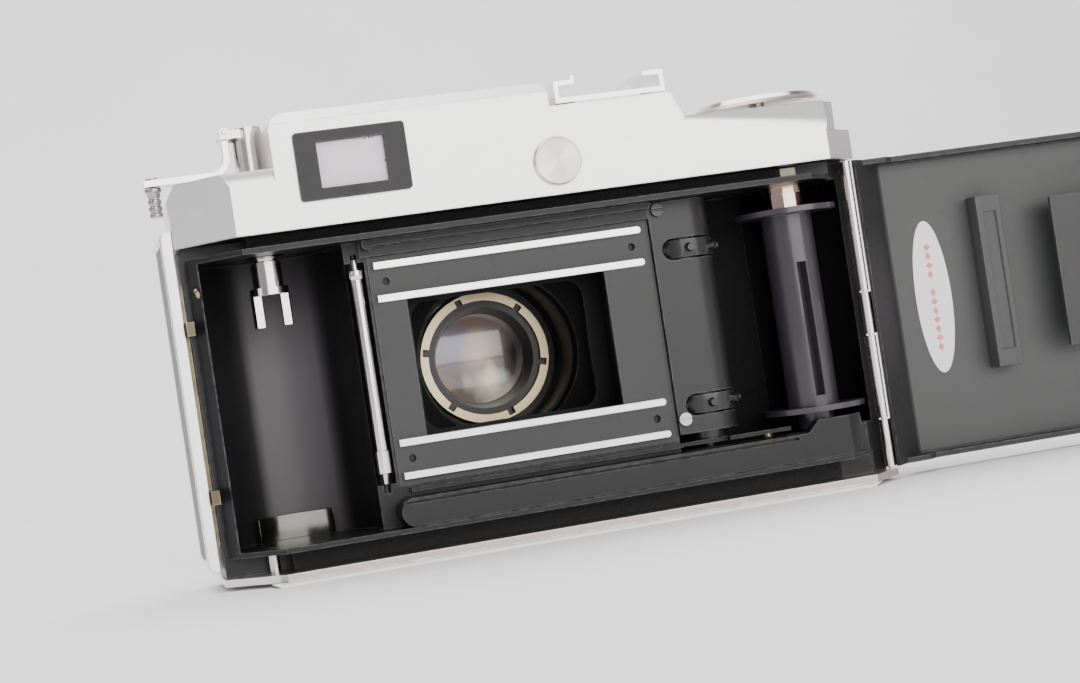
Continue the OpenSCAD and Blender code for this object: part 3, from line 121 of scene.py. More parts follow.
half_width, near_y, bend_y, bend_r = 3.0, -2.4, 0.5, 0.6
top_y, top_z = 1.25, 2.4
sweep = bmesh.new()
tip = sweep.verts.new((-half_width, near_y, 0.0))
for turn in [math.radians(angle) for angle in range(0, 81, 10)]:
    tip = bmesh.ops.extrude_vert_indiv(sweep, verts=[tip])["verts"][0]
    tip.co = (-half_width, bend_y + bend_r * math.sin(turn), bend_r * (1 - math.cos(turn)))
tip = bmesh.ops.extrude_vert_indiv(sweep, verts=[tip])["verts"][0]
tip.co = (-half_width, top_y, top_z)
side = bmesh.ops.extrude_edge_only(sweep, edges=sweep.edges[:])["geom"]
far_side = [part for part in side if isinstance(part, bmesh.types.BMVert)]
bmesh.ops.translate(sweep, vec=(2 * half_width, 0, 0), verts=far_side)
bmesh.ops.recalc_face_normals(sweep, faces=sweep.faces[:])
for face in sweep.faces:
    face.smooth = True
floor = mesh_object("paper_sweep", sweep)
paper, shader, place = start_material("pale_paper")
cloud = add(paper, "ShaderNodeTexNoise", Vector=place, Scale=5.0, Detail=3.0)
join(paper, ramp(paper, cloud.outputs["Fac"], (0.3, (0.83, 0.81, 0.825)), (0.7, (0.90, 0.88, 0.895))),
     shader.inputs["Base Color"])
shader.inputs["Roughness"].default_value = 0.9
fibre = add(paper, "ShaderNodeTexNoise", Vector=place, Scale=900.0, Detail=4.0)
bump(paper, shader, fibre.outputs["Fac"], 0.05)
floor.data.materials.append(paper)


def soft_light(name, spot, target, size, power, tint=(1, 1, 1)):
    lamp = bpy.data.lights.new(name, "AREA")
    lamp.shape = "RECTANGLE"
    lamp.size, lamp.size_y = size
    lamp.energy = power
    lamp.color = tint
    thing = bpy.data.objects.new(name, lamp)
    thing.visible_camera = False
    thing.location = spot
    thing.rotation_mode = "QUATERNION"
    thing.rotation_quaternion = (Vector(target) - Vector(spot)).to_track_quat("-Z", "Y")
    bpy.context.scene.collection.objects.link(thing)


soft_light("window", (0.45, -1.35, 0.42), (0.0, 0.0, 0.05), (1.7, 0.8), 18.5, (1.0, 0.985, 0.965))
soft_light("overhead", (-0.1, 0.15, 1.3), (0.0, 0.0, 0.03), (1.8, 1.2), 38, (1.0, 0.985, 1.0))
soft_light("left_fill", (-1.1, -0.5, 0.5), (0.0, 0.0, 0.03), (0.5, 0.5), 1.5, (0.97, 0.97, 1.0))
world = bpy.data.worlds.new("studio")
world.use_nodes = True
world.node_tree.nodes["Background"].inputs["Color"].default_value = (0.92, 0.90, 0.95, 1)
world.node_tree.nodes["Background"].inputs["Strength"].default_value = 0.4
bpy.context.scene.world = world

# ---------------------------------------------------------------- body casting
# The chassis is a pressure casting in light alloy, sprayed satin black inside and out.
# Its edges are painted a lighter grey, as a highlight and partly as wear from handling.
FLOAT, VECTOR = "NodeSocketFloat", "NodeSocketVector"


def new_group(name, inputs, outputs):
    tree = bpy.data.node_groups.new(name, "ShaderNodeTree")
    for label, kind, value in inputs:
        socket = tree.interface.new_socket(name=label, in_out="INPUT", socket_type=kind)
        if value is not None:
            socket.default_value = value
    for label in outputs:
        tree.interface.new_socket(name=label, in_out="OUTPUT", socket_type=FLOAT)
    return tree, tree.nodes.new("NodeGroupInput").outputs, tree.nodes.new("NodeGroupOutput").inputs


def maths(owner, work, first, second=0.0):
    node = add(owner, "ShaderNodeMath", _0=first, _1=second)
    node.operation = work
    return node.outputs[0]


# Marks of handling: broad patches, and small scuffs that are 0 clean and 1 marked
marks, given, made = new_group("handling_marks", [("Vector", VECTOR, None), ("Size", FLOAT, 60.0)],
                               ["Patches", "Scuffs"])
broad = add(marks, "ShaderNodeTexNoise", Vector=given["Vector"], Scale=given["Size"], Detail=4.0)
speck_size = maths(marks, "MULTIPLY", given["Size"], 9.0)
speck = add(marks, "ShaderNodeTexNoise", Vector=given["Vector"], Scale=speck_size, Detail=6.0, Roughness=0.7)
cut_off = add(marks, "ShaderNodeMapRange", Value=speck.outputs["Fac"], From_Min=0.58, From_Max=0.75)
marks.links.new(broad.outputs["Fac"], made["Patches"])
marks.links.new(cut_off.outputs["Result"], made["Scuffs"])

# Edge mask for painted highlight, painted shade and wear: 1 on an outer edge within the given radius, broken
# up by noise
edge_shade_and_wear, given, made = new_group("edge_shading_and_wear", [("Vector", VECTOR, None), ("Radius", FLOAT, 0.0005)], ["Wear"])
rounded = add(edge_shade_and_wear, "ShaderNodeBevel", Radius=given["Radius"])
rounded.samples = 4
lean = add(edge_shade_and_wear, "ShaderNodeVectorMath", _0=rounded.outputs["Normal"],
           _1=edge_shade_and_wear.nodes.new("ShaderNodeNewGeometry").outputs["Normal"])
lean.operation = "DOT_PRODUCT"
near = add(edge_shade_and_wear, "ShaderNodeMapRange", Value=lean.outputs["Value"], From_Min=0.985, From_Max=0.86)
broken = add(edge_shade_and_wear, "ShaderNodeTexNoise", Vector=given["Vector"], Scale=700.0, Detail=5.0)
keep = add(edge_shade_and_wear, "ShaderNodeMapRange", Value=broken.outputs["Fac"], From_Min=0.35, From_Max=0.6)
edge_shade_and_wear.links.new(maths(edge_shade_and_wear, "MULTIPLY", near.outputs["Result"], keep.outputs["Result"]), made["Wear"])


def use_group(material, tree, **inputs):
    node = material.node_tree.nodes.new("ShaderNodeGroup")
    node.node_tree = tree
    for key, value in inputs.items():
        if isinstance(value, bpy.types.NodeSocket):
            material.node_tree.links.new(value, node.inputs[key])
        else:
            node.inputs[key].default_value = value
    return node.outputs


def mix(material, share, low, high):
    """A colour between low and high by share."""
    node = material.node_tree.nodes.new("ShaderNodeMix")
    node.data_type = "RGBA"
    for socket, value in ((node.inputs[0], share), (node.inputs[6], low), (node.inputs[7], high)):
        if isinstance(value, bpy.types.NodeSocket):
            material.node_tree.links.new(value, socket)
        else:
            socket.default_value = (*value, 1) if isinstance(value, tuple) else value
    return node.outputs[2]


def spread(material, value, low, high, start=0.0, end=1.0):
    """Maps start..end of a value onto low..high."""
    node = add(material, "ShaderNodeMapRange", Value=value, From_Min=start, From_Max=end)
    node.inputs["To Min"].default_value = low
    node.inputs["To Max"].default_value = high
    return node.outputs["Result"]


def axis_of(material, place, axis):
    """One of the X, Y, Z values of a place."""
    return add(material, "ShaderNodeSeparateXYZ", Vector=place).outputs[axis]


def paint(name, light, dark, rough, edge_tone, peel_mm=0.01, edge_mm=0.4, coat=0.0, gloss=0.4):
    """Black or grey paint over metal: mottled, slightly orange-peeled, with a painted highlight along the
    edges that partly stands for wear.
    """
    material, shader, place = start_material(name)
    handled = use_group(material, marks, Vector=place, Size=45.0)
    edges = use_group(material, edge_shade_and_wear, Vector=place, Radius=edge_mm * MM)
    tone = mix(material, handled["Patches"], dark, light)
    join(material, mix(material, edges["Wear"], tone, edge_tone), shader.inputs["Base Color"])
    join(material, spread(material, handled["Scuffs"], rough, rough + 0.18), shader.inputs["Roughness"])
    peel = add(material, "ShaderNodeTexNoise", Vector=place, Scale=900.0, Detail=3.0)
    bump(material, shader, peel.outputs["Fac"], peel_mm)
    shader.inputs["Coat Weight"].default_value = coat
    shader.inputs["Specular IOR Level"].default_value = gloss
    return material


def finish_node(name, material, bevel=0.0, segments=2, angle=32, join_flats=True):
    """Gives a CAD node its finish, and rounds its sharp edges by bevel millimetres."""
    thing = nodes[name]
    thing.data.materials.clear()
    thing.data.materials.append(material)
    for face in thing.data.polygons:
        face.material_index = 0
        face.use_smooth = True
    weld = thing.modifiers.new("weld", "WELD")
    weld.merge_threshold = 0.004 * MM
    if join_flats:
        flat = thing.modifiers.new("flat faces", "DECIMATE")
        flat.decimate_type = "DISSOLVE"
        flat.angle_limit = math.radians(0.8)
    if bevel:
        edge = thing.modifiers.new("edges", "BEVEL")
        edge.width = bevel * MM
        edge.segments = segments
        edge.limit_method = "ANGLE"
        edge.angle_limit = math.radians(angle)
        edge.use_clamp_overlap = True
        even = thing.modifiers.new("even shading", "WEIGHTED_NORMAL")
        even.keep_sharp = True
        even.weight = 80
    else:
        edge = thing.modifiers.new("edges", "EDGE_SPLIT")
        edge.split_angle = math.radians(angle)


# Lighter grey for edges: a painted highlight, partly bare metal where the paint is worn.
edge_highlight_and_wear = (0.10, 0.10, 0.10)
chassis_black = paint("chassis_black", (0.011, 0.011, 0.012), (0.006, 0.006, 0.007), 0.36, edge_highlight_and_wear,
                      gloss=0.32)

# The casting's own coat. A grey sheen is painted on the cartridge chamber's back wall, fading towards the
# top, and the deep walls beside the spool and sprocket are painted near-black as shade.
casting_black, shader, place = start_material("casting_black")
handled = use_group(casting_black, marks, Vector=place, Size=45.0)
edges = use_group(casting_black, edge_shade_and_wear, Vector=place, Radius=0.4 * MM)
across, depth = axis_of(casting_black, place, 0), axis_of(casting_black, place, 1)
band_left, band_right = (-0.0465, -0.0445), (-0.0335, -0.0305)
band_depth, band_fade_z = (0.006, 0.0085), (0.036, 0.056)
deep_y, past_chamber_x = (-0.001, 0.002), (-0.020, -0.019)
# Painted sheen: a grey band on the cartridge chamber's back wall, fading towards the top.
painted_sheen = maths(casting_black, "MULTIPLY", spread(casting_black, across, 0.0, 1.0, *band_left),
               spread(casting_black, across, 1.0, 0.0, *band_right))
painted_sheen = maths(casting_black, "MULTIPLY", painted_sheen, spread(casting_black, depth, 0.0, 1.0, *band_depth))
painted_sheen = maths(casting_black, "MULTIPLY", painted_sheen,
               spread(casting_black, axis_of(casting_black, place, 2), 1.0, 0.25, *band_fade_z))
# Painted shade: the deep walls past the chamber are made near-black, and rougher.
painted_deep_shade = maths(casting_black, "MULTIPLY", spread(casting_black, depth, 0.0, 1.0, *deep_y),
             spread(casting_black, across, 0.0, 1.0, *past_chamber_x))
tone = mix(casting_black, handled["Patches"], (0.006, 0.006, 0.007), (0.012, 0.012, 0.013))
tone = mix(casting_black, painted_sheen, tone, (0.105, 0.098, 0.104))
tone = mix(casting_black, painted_deep_shade, tone, (0.002, 0.002, 0.003))
join(casting_black, mix(casting_black, edges["Wear"], tone, edge_highlight_and_wear), shader.inputs["Base Color"])
sheen = spread(casting_black, handled["Scuffs"], 0.36, 0.54)
join(casting_black, maths(casting_black, "ADD", sheen, maths(casting_black, "MULTIPLY", painted_deep_shade, 0.5)),
     shader.inputs["Roughness"])
shader.inputs["Specular IOR Level"].default_value = 0.3
peel = add(casting_black, "ShaderNodeTexNoise", Vector=place, Scale=900.0, Detail=3.0)
bump(casting_black, shader, peel.outputs["Fac"], 0.01)
finish_node("body_casting", casting_black, 0.25)

# The wall screw of the cartridge chamber: a small brass screw with a dished head, sunk in
# the left wall and tipped upwards.
wall_screw_y, wall_screw_z, screw_r, screw_tip = -5.8 * MM, 51.3 * MM, 1.15 * MM, 72
wall_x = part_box("cartridge_clip")[0][0] - 5.7 * MM
screw = bmesh.new()
bmesh.ops.create_cone(screw, cap_ends=True, segments=32, radius1=screw_r, radius2=screw_r, depth=0.8 * MM)
rim = [edge for edge in screw.edges if all(vert.co.z > 0 for vert in edge.verts)]
bmesh.ops.bevel(screw, geom=rim, affect="EDGES", offset=0.22 * MM, segments=3, profile=0.5, material=-1)
top = max(screw.faces, key=lambda face: face.calc_center_median().z)
bmesh.ops.inset_region(screw, faces=[top], thickness=0.3 * MM, depth=0)
bmesh.ops.translate(screw, vec=(0, 0, -0.12 * MM), verts=top.verts[:])
bmesh.ops.transform(screw, matrix=Matrix.Translation((wall_x, wall_screw_y, wall_screw_z))
                    @ Matrix.Rotation(math.radians(screw_tip), 4, "Y"), verts=screw.verts[:])
for face in screw.faces:
    face.smooth = len(face.verts) == 4
wall_screw = mesh_object("chamber_wall_screw", screw)
old_brass, shader, place = start_material("old_brass")
handled = use_group(old_brass, marks, Vector=place, Size=300.0)
join(old_brass, mix(old_brass, handled["Patches"], (0.20, 0.17, 0.11), (0.42, 0.36, 0.24)),
     shader.inputs["Base Color"])
shader.inputs["Metallic"].default_value = 1.0
join(old_brass, spread(old_brass, handled["Scuffs"], 0.3, 0.5), shader.inputs["Roughness"])
wall_screw.data.materials.append(old_brass)
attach(wall_screw, "body")

# ---------------------------------------------------------------- film gate and rails
# The gate plate is sprayed a deader black than the casting. The four film rails are
# ground bright and polished by the film; their right-hand ends are rounded.
gate_black = paint("gate_black", (0.030, 0.031, 0.030), (0.021, 0.022, 0.021), 0.46, edge_highlight_and_wear, gloss=0.5)
finish_node("film_gate", gate_black, 0.1)
rails_low, rails_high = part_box("film_rails")
rail_width = 1.4 * MM
rail_step = 0.2 * MM
gate_half = 12.0 * MM
hair = 1e-6
mid_z = (rails_low[2] + rails_high[2]) / 2
outer_z = (rails_high[2] - rails_low[2] - rail_width) / 2
rails = bmesh.new()
for height, face_y in ((outer_z, rails_low[1]), (gate_half + rail_width / 2, rails_low[1] + rail_step)):
    for side in (1, -1):
        size = Vector((rails_high[0] - rails_low[0], rails_high[1] - face_y, rail_width))
        centre = Vector(((rails_low[0] + rails_high[0]) / 2, (rails_high[1] + face_y) / 2,
                         mid_z + side * height))
        bar = bmesh.ops.create_cube(rails, size=1.0,
                                    matrix=Matrix.Translation(centre) @ Matrix.Diagonal((*size, 1)))
        ends = {edge for vert in bar["verts"] for edge in vert.link_edges
                if all(abs(end.co.x - rails_high[0]) < hair for end in edge.verts)
                and abs(edge.verts[0].co.y - edge.verts[1].co.y) > hair}
        bmesh.ops.bevel(rails, geom=list(ends), affect="EDGES", offset=rail_width * 0.49, segments=6,
                        profile=0.5, material=-1)
faces_y = (rails_low[1], rails_low[1] + rail_step)
fronts = [edge for edge in rails.edges
          if all(min(abs(vert.co.y - face_y) for face_y in faces_y) < hair for vert in edge.verts)]
bmesh.ops.bevel(rails, geom=fronts, affect="EDGES", offset=0.14 * MM, segments=2, profile=0.5, material=-1)
bmesh.ops.recalc_face_normals(rails, faces=rails.faces[:])
film_rails = mesh_object("polished_film_rails", rails)


def brushed(name, light, dark, rough, along="X", streak=0.006, scratch=0.0, grain=1500.0):
    """Bare or plated metal brushed along one axis, with patchy tone and a few dark scratches."""
    material, shader, place = start_material(name)
    handled = use_group(material, marks, Vector=place, Size=80.0)
    stretch = add(material, "ShaderNodeMapping", Vector=place)
    stretch.inputs["Scale"].default_value = [0.03 if axis == along else 1.0 for axis in "XYZ"]
    lines = add(material, "ShaderNodeTexNoise", Vector=stretch.outputs["Vector"], Scale=grain, Detail=5.0)
    tone = mix(material, handled["Patches"], dark, light)
    if scratch:
        chips = add(material, "ShaderNodeTexNoise", Vector=place, Scale=420.0, Detail=8.0, Roughness=0.75)
        worn = spread(material, chips.outputs["Fac"], 0.0, 1.0, 0.66, 0.72)
        tone = mix(material, maths(material, "MULTIPLY", worn, scratch), tone, (0.16, 0.13, 0.10))
    join(material, tone, shader.inputs["Base Color"])
    shader.inputs["Metallic"].default_value = 1.0
    join(material, spread(material, handled["Scuffs"], rough, rough + 0.12), shader.inputs["Roughness"])
    bump(material, shader, lines.outputs["Fac"], streak)
    return material


rail_steel = brushed("rail_steel", (0.93, 0.93, 0.92), (0.84, 0.84, 0.84), 0.2, scratch=0.8)
film_rails.data.materials.append(rail_steel)
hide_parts("film_rails")
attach(film_rails, "body")

# ---------------------------------------------------------------- light box and rear of the lens
# Behind the gate are a blackened mask, the black rear cell and its slotted beige retaining
# ring. On the coated rear glass, reflections of the blades behind it are painted in gold, silver and brown
# with a dark patch, and it glows a little by emission.
flat_black = paint("flat_black", (0.005, 0.005, 0.006), (0.003, 0.003, 0.004), 0.5, (0.03, 0.03, 0.03),
                   gloss=0.2)
finish_node("light_baffle", flat_black, 0.1)
finish_node("rear_cell", paint("rear_cell_black", (0.03, 0.029, 0.027), (0.015, 0.015, 0.014), 0.3,
                               (0.10, 0.09, 0.07)), 0.1)


def plated(name, light, dark, rough, grain=1400.0, grain_mm=0.004, worn=None):
    """Plated or bare metal with patchy sheen, fine even grain and, if given, an edge colour that is a painted
    highlight and partly wear.
    """
    material, shader, place = start_material(name)
    handled = use_group(material, marks, Vector=place, Size=70.0)
    tone = mix(material, handled["Patches"], dark, light)
    if worn:
        edges = use_group(material, edge_shade_and_wear, Vector=place, Radius=0.4 * MM)
        # Painted highlight, partly wear: the given edge colour along the edges.
        tone = mix(material, edges["Wear"], tone, worn)
    join(material, tone, shader.inputs["Base Color"])
    shader.inputs["Metallic"].default_value = 1.0
    join(material, spread(material, handled["Scuffs"], rough, rough + 0.12), shader.inputs["Roughness"])
    fine = add(material, "ShaderNodeTexNoise", Vector=place, Scale=grain, Detail=4.0)
    bump(material, shader, fine.outputs["Fac"], grain_mm)
    return material


finish_node("retaining_ring", plated("beige_brass", (0.60, 0.50, 0.33), (0.40, 0.33, 0.20), 0.34,
                                     worn=(0.75, 0.66, 0.48)), 0.12)

painted_rear_glass, shader, place = start_material("rear_glass_painted_reflections")
low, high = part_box("rear_glass")
glass_centre = Vector(((low[0] + high[0]) / 2, 0.0, (low[2] + high[2]) / 2))
glass_r = (high[0] - low[0]) / 2
cloudy = add(painted_rear_glass, "ShaderNodeTexNoise", Vector=place, Scale=160.0, Detail=3.0, Distortion=0.6)


def glow_at(across, up, stretch_x, stretch_z):
    """1 at a spot on the glass, in shares of its radius, falling softly to 0 around it."""
    spot = glass_centre + Vector((across, 0, up)) * glass_r
    offset = add(painted_rear_glass, "ShaderNodeVectorMath", _0=place, _1=spot)
    offset.operation = "SUBTRACT"
    scaled = add(painted_rear_glass, "ShaderNodeVectorMath", _0=offset.outputs["Vector"],
                 _1=(1 / (stretch_x * glass_r), 0.0, 1 / (stretch_z * glass_r)))
    scaled.operation = "MULTIPLY"
    reach = add(painted_rear_glass, "ShaderNodeVectorMath", _0=scaled.outputs["Vector"])
    reach.operation = "LENGTH"
    ragged = maths(painted_rear_glass, "ADD", reach.outputs["Value"],
                   maths(painted_rear_glass, "MULTIPLY", maths(painted_rear_glass, "SUBTRACT", cloudy.outputs["Fac"], 0.5), 0.9))
    return spread(painted_rear_glass, ragged, 1.0, 0.0)


# Painted reflections: violet, brown and dark patches and a bright gold-white highlight on the glass.
tone = mix(painted_rear_glass, cloudy.outputs["Fac"], (0.10, 0.075, 0.065), (0.24, 0.19, 0.155))
tone = mix(painted_rear_glass, glow_at(-0.55, 0.35, 0.5, 0.6), tone, (0.13, 0.12, 0.26))
tone = mix(painted_rear_glass, glow_at(-0.05, 0.0, 0.45, 0.75), tone, (0.42, 0.33, 0.24))
tone = mix(painted_rear_glass, glow_at(0.9, 0.1, 0.75, 1.4), tone, (0.004, 0.004, 0.006))
tone = mix(painted_rear_glass, glow_at(0.12, -0.62, 0.62, 0.5), tone, (0.80, 0.78, 0.68))
tone = mix(painted_rear_glass, glow_at(0.2, -0.5, 0.22, 0.5), tone, (0.98, 0.78, 0.46))
join(painted_rear_glass, tone, shader.inputs["Base Color"])
# Painted glow: the same colours are also emitted, though no lamp is behind the glass.
join(painted_rear_glass, tone, shader.inputs["Emission Color"])
shader.inputs["Emission Strength"].default_value = 0.35
shader.inputs["Metallic"].default_value = 0.2
shader.inputs["Roughness"].default_value = 0.18
shader.inputs["Coat Weight"].default_value = 1.0
shader.inputs["Coat Roughness"].default_value = 0.03
finish_node("rear_glass", painted_rear_glass)

blade_steel = plated("blade_steel", (0.30, 0.24, 0.18), (0.14, 0.12, 0.11), 0.3)
for blade in range(1, 6):
    finish_node(f"shutter_blade_{blade}", blade_steel)

# ---------------------------------------------------------------- guide roller
# The film's first roller is a thin steel spindle with thicker ends, chromed and polished.
# The other bright fittings are plated alike.
bright_chrome = plated("bright_chrome", (0.86, 0.85, 0.85), (0.76, 0.75, 0.76), 0.12, 900, 0.002)
roller_chrome = brushed("roller_chrome", (0.86, 0.82, 0.84), (0.72, 0.68, 0.70), 0.16, "Z")
finish_node("guide_roller", roller_chrome, 0.08)

# ---------------------------------------------------------------- sprocket and its cover
# The two toothed wheels are black-oxidised brass on one shaft. A folded black sheet with
# round-ended slots covers them, held by a black screw above and a bright one below.
oxide_black = paint("oxide_black", (0.024, 0.024, 0.025), (0.013, 0.013, 0.014), 0.30, (0.09, 0.085, 0.08),
                    coat=0.2)
finish_node("sprocket", oxide_black, 0.1)
finish_node("sprocket_cover", paint("cover_black", (0.022, 0.022, 0.022), (0.014, 0.015, 0.015), 0.34,
                                    (0.12, 0.12, 0.12)), 0.12)
blackened, shader, place = start_material("screw_black")
handled = use_group(blackened, marks, Vector=place, Size=200.0)
height = spread(blackened, axis_of(blackened, place, 2), 0.0, 1.0, mid_z, mid_z + 0.001)
plain = mix(blackened, handled["Patches"], (0.03, 0.03, 0.03), (0.07, 0.07, 0.07))
join(blackened, mix(blackened, height, (0.45, 0.44, 0.42), plain), shader.inputs["Base Color"])
shader.inputs["Metallic"].default_value = 1.0
join(blackened, spread(blackened, handled["Scuffs"], 0.3, 0.5), shader.inputs["Roughness"])
finish_node("chamber_screws", blackened, 0.12)

# ---------------------------------------------------------------- take-up spool
# The spool is moulded in blackish violet plastic with one long slot for the film's tongue.
# A flatted brass nut drives it from above, beside the ivory stud that resets the counter.
spool_black, shader, place = start_material("spool_black")
handled = use_group(spool_black, marks, Vector=place, Size=60.0)
join(spool_black, mix(spool_black, handled["Patches"], (0.030, 0.027, 0.033), (0.046, 0.042, 0.050)),
     shader.inputs["Base Color"])
join(spool_black, spread(spool_black, handled["Scuffs"], 0.3, 0.5), shader.inputs["Roughness"])
upright = add(spool_black, "ShaderNodeMapping", Vector=place)
upright.inputs["Scale"].default_value = (1.0, 1.0, 0.02)
drawn = add(spool_black, "ShaderNodeTexNoise", Vector=upright.outputs["Vector"], Scale=900.0, Detail=4.0)
bump(spool_black, shader, drawn.outputs["Fac"], 0.02)
shader.inputs["Coat Weight"].default_value = 0.3
finish_node("takeup_spool", spool_black, 0.15)
nut_brass = plated("nut_brass", (0.72, 0.56, 0.46), (0.52, 0.38, 0.29), 0.16, worn=(0.85, 0.74, 0.66))
finish_node("drive_nut", nut_brass, 0.12)
ivory, shader, place = start_material("ivory")
handled = use_group(ivory, marks, Vector=place, Size=200.0)
join(ivory, mix(ivory, handled["Patches"], (0.72, 0.66, 0.46), (0.88, 0.84, 0.66)),
     shader.inputs["Base Color"])
join(ivory, spread(ivory, handled["Scuffs"], 0.35, 0.5), shader.inputs["Roughness"])
shader.inputs["Subsurface Weight"].default_value = 0.15
shader.inputs["Subsurface Radius"].default_value = (0.0010, 0.0008, 0.0005)
finish_node("reset_plunger", ivory, 0.15)

# ---------------------------------------------------------------- gear housing and gears
# A long black sheet cover under the film opening hides three cut brass gears that carry
# the drive from the sprocket to the spool.
finish_node("gear_housing", chassis_black, 0.3)
gear_brass = plated("gear_brass", (0.72, 0.57, 0.31), (0.52, 0.40, 0.21), 0.25)
finish_node("idler_gear", gear_brass)

# ---------------------------------------------------------------- rewind fork and cartridge clip
# The fork is turned steel, nickel plated, with two prongs that enter the cartridge's spool.
# A curved leaf of blued spring steel steadies the cartridge's foot.
fork_nickel = plated("fork_nickel", (0.80, 0.76, 0.74), (0.62, 0.58, 0.57), 0.16, worn=(0.92, 0.91, 0.90))
finish_node("rewind_fork", fork_nickel, 0.15)
finish_node("cartridge_clip", plated("clip_steel", (0.34, 0.34, 0.30), (0.16, 0.17, 0.15), 0.12), 0.06)

# ---------------------------------------------------------------- light traps
# Strips of black felt lie in the channels above and below the film chamber.
felt, shader, place = start_material("felt_black")
fuzz = add(felt, "ShaderNodeTexNoise", Vector=place, Scale=1600.0, Detail=6.0, Roughness=0.8)
lint = spread(felt, fuzz.outputs["Fac"], 0.0, 1.0, 0.62, 0.72)
join(felt, mix(felt, lint, (0.004, 0.004, 0.004), (0.06, 0.06, 0.06)), shader.inputs["Base Color"])
shader.inputs["Roughness"].default_value = 1.0
shader.inputs["Sheen Weight"].default_value = 0.4
bump(felt, shader, fuzz.outputs["Fac"], 0.4)
finish_node("light_seals", felt)

# ---------------------------------------------------------------- top cover
# The cover is pressed brass, blasted to a fine pearl grain and satin chrome plated. Along
# its edges a thin brown line of shade is painted into its colour.
pearl, shader, place = start_material("cover_satin_chrome")
handled = use_group(pearl, marks, Vector=place, Size=35.0)
edges = use_group(pearl, edge_shade_and_wear, Vector=place, Radius=0.4 * MM)
pearl_tone = mix(pearl, handled["Patches"], (0.89, 0.88, 0.86), (0.95, 0.94, 0.92))
# Painted shade: a dark brown line along every edge of the satin chrome.
join(pearl, mix(pearl, maths(pearl, "MULTIPLY", edges["Wear"], 2.4), pearl_tone, (0.46, 0.37, 0.36)),
     shader.inputs["Base Color"])
shader.inputs["Metallic"].default_value = 0.92
join(pearl, spread(pearl, handled["Scuffs"], 0.36, 0.46), shader.inputs["Roughness"])
blasted = add(pearl, "ShaderNodeTexNoise", Vector=place, Scale=2200.0, Detail=5.0)
mottled = add(pearl, "ShaderNodeTexNoise", Vector=place, Scale=520.0, Detail=2.0)
even = bump(pearl, shader, mottled.outputs["Fac"], 0.012)
bump(pearl, shader, blasted.outputs["Fac"], 0.016, even)
finish_node("top_cover", pearl, 0.3, 3)

# ---------------------------------------------------------------- eyepiece and windows
# A moulded charcoal frame holds the eyepiece glass; the pale light seen through it is painted into the
# glass's colour.
# The front windows are darker, set in a bright plate.
finish_node("viewfinder_frame", paint("eyepiece_black", (0.020, 0.019, 0.020), (0.013, 0.013, 0.014), 0.45,
                                      (0.12, 0.12, 0.12)), 0.3, 3)
window, shader, place = start_material("finder_glass")
depth = spread(window, axis_of(window, place, 1), 0.0, 1.0, -0.005, 0.005)
low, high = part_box("viewfinder_frame")
eye = Vector(((low[0] + high[0]) / 2, low[1], (low[2] + high[2]) / 2))
from_eye = add(window, "ShaderNodeVectorMath", _0=place, _1=eye)
from_eye.operation = "SUBTRACT"
half_wide, half_high = 5.8 * MM, 3.9 * MM
squeezed = add(window, "ShaderNodeVectorMath", _0=from_eye.outputs["Vector"],
               _1=(1 / half_wide, 0.0, 1 / half_high))
squeezed.operation = "MULTIPLY"
parts = add(window, "ShaderNodeSeparateXYZ", Vector=squeezed.outputs["Vector"])
rim_share = maths(window, "MAXIMUM", maths(window, "ABSOLUTE", parts.outputs[0]),
                  maths(window, "ABSOLUTE", parts.outputs[2]))
dirt_noise = add(window, "ShaderNodeTexNoise", Vector=place, Scale=620.0, Detail=5.0, Distortion=1.5)
near_rim = spread(window, rim_share, 0.0, 0.22, 0.72, 1.0)
dirt = spread(window, maths(window, "ADD", dirt_noise.outputs["Fac"], near_rim), 0.0, 1.0, 0.80, 0.83)
# Painted light: the pale view through the eyepiece is the glass's own colour, with dark dirt near its rim.
painted_view_through = mix(window, dirt_noise.outputs["Fac"], (0.66, 0.59, 0.66), (0.72, 0.66, 0.71))
painted_view_through = mix(window, dirt, painted_view_through, (0.03, 0.02, 0.03))
join(window, mix(window, depth, painted_view_through, (0.03, 0.035, 0.05)), shader.inputs["Base Color"])
shader.inputs["Roughness"].default_value = 0.12
shader.inputs["Coat Weight"].default_value = 1.0
shader.inputs["Coat Roughness"].default_value = 0.02
finish_node("finder_glasses", window)
finish_node("finder_block", window)
finish_node("front_window_plate", bright_chrome, 0.08)

# ---------------------------------------------------------------- rangefinder cap
# A turned aluminium cap closes the adjuster's port; its fine turning marks are concentric.
low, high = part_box("adjuster_cap")
cap_centre = Vector(((low[0] + high[0]) / 2, 0, (low[2] + high[2]) / 2))


def turned(name, light, dark, rough, centre, flatten, pitch_mm=0.22, depth_mm=0.012):
    """Lathe-turned metal: rings of the given pitch round a centre, in the plane that flatten keeps."""
    material, shader, place = start_material(name)
    handled = use_group(material, marks, Vector=place, Size=120.0)
    join(material, mix(material, handled["Patches"], dark, light), shader.inputs["Base Color"])
    shader.inputs["Metallic"].default_value = 1.0
    join(material, spread(material, handled["Scuffs"], rough, rough + 0.1), shader.inputs["Roughness"])
    offset = add(material, "ShaderNodeVectorMath", _0=place, _1=centre)
    offset.operation = "SUBTRACT"
    plane = add(material, "ShaderNodeVectorMath", _0=offset.outputs["Vector"], _1=flatten)
    plane.operation = "MULTIPLY"
    reach = add(material, "ShaderNodeVectorMath", _0=plane.outputs["Vector"])
    reach.operation = "LENGTH"
    rings = maths(material, "SINE", maths(material, "MULTIPLY", reach.outputs["Value"],
                                          2 * math.pi / (pitch_mm * MM)))
    bump(material, shader, rings, depth_mm)
    return material


turned_cap = turned("turned_cap", (0.86, 0.84, 0.80), (0.74, 0.72, 0.68), 0.2, cap_centre, (1, 0, 1))
finish_node("adjuster_cap", turned_cap, 0.3, 3)

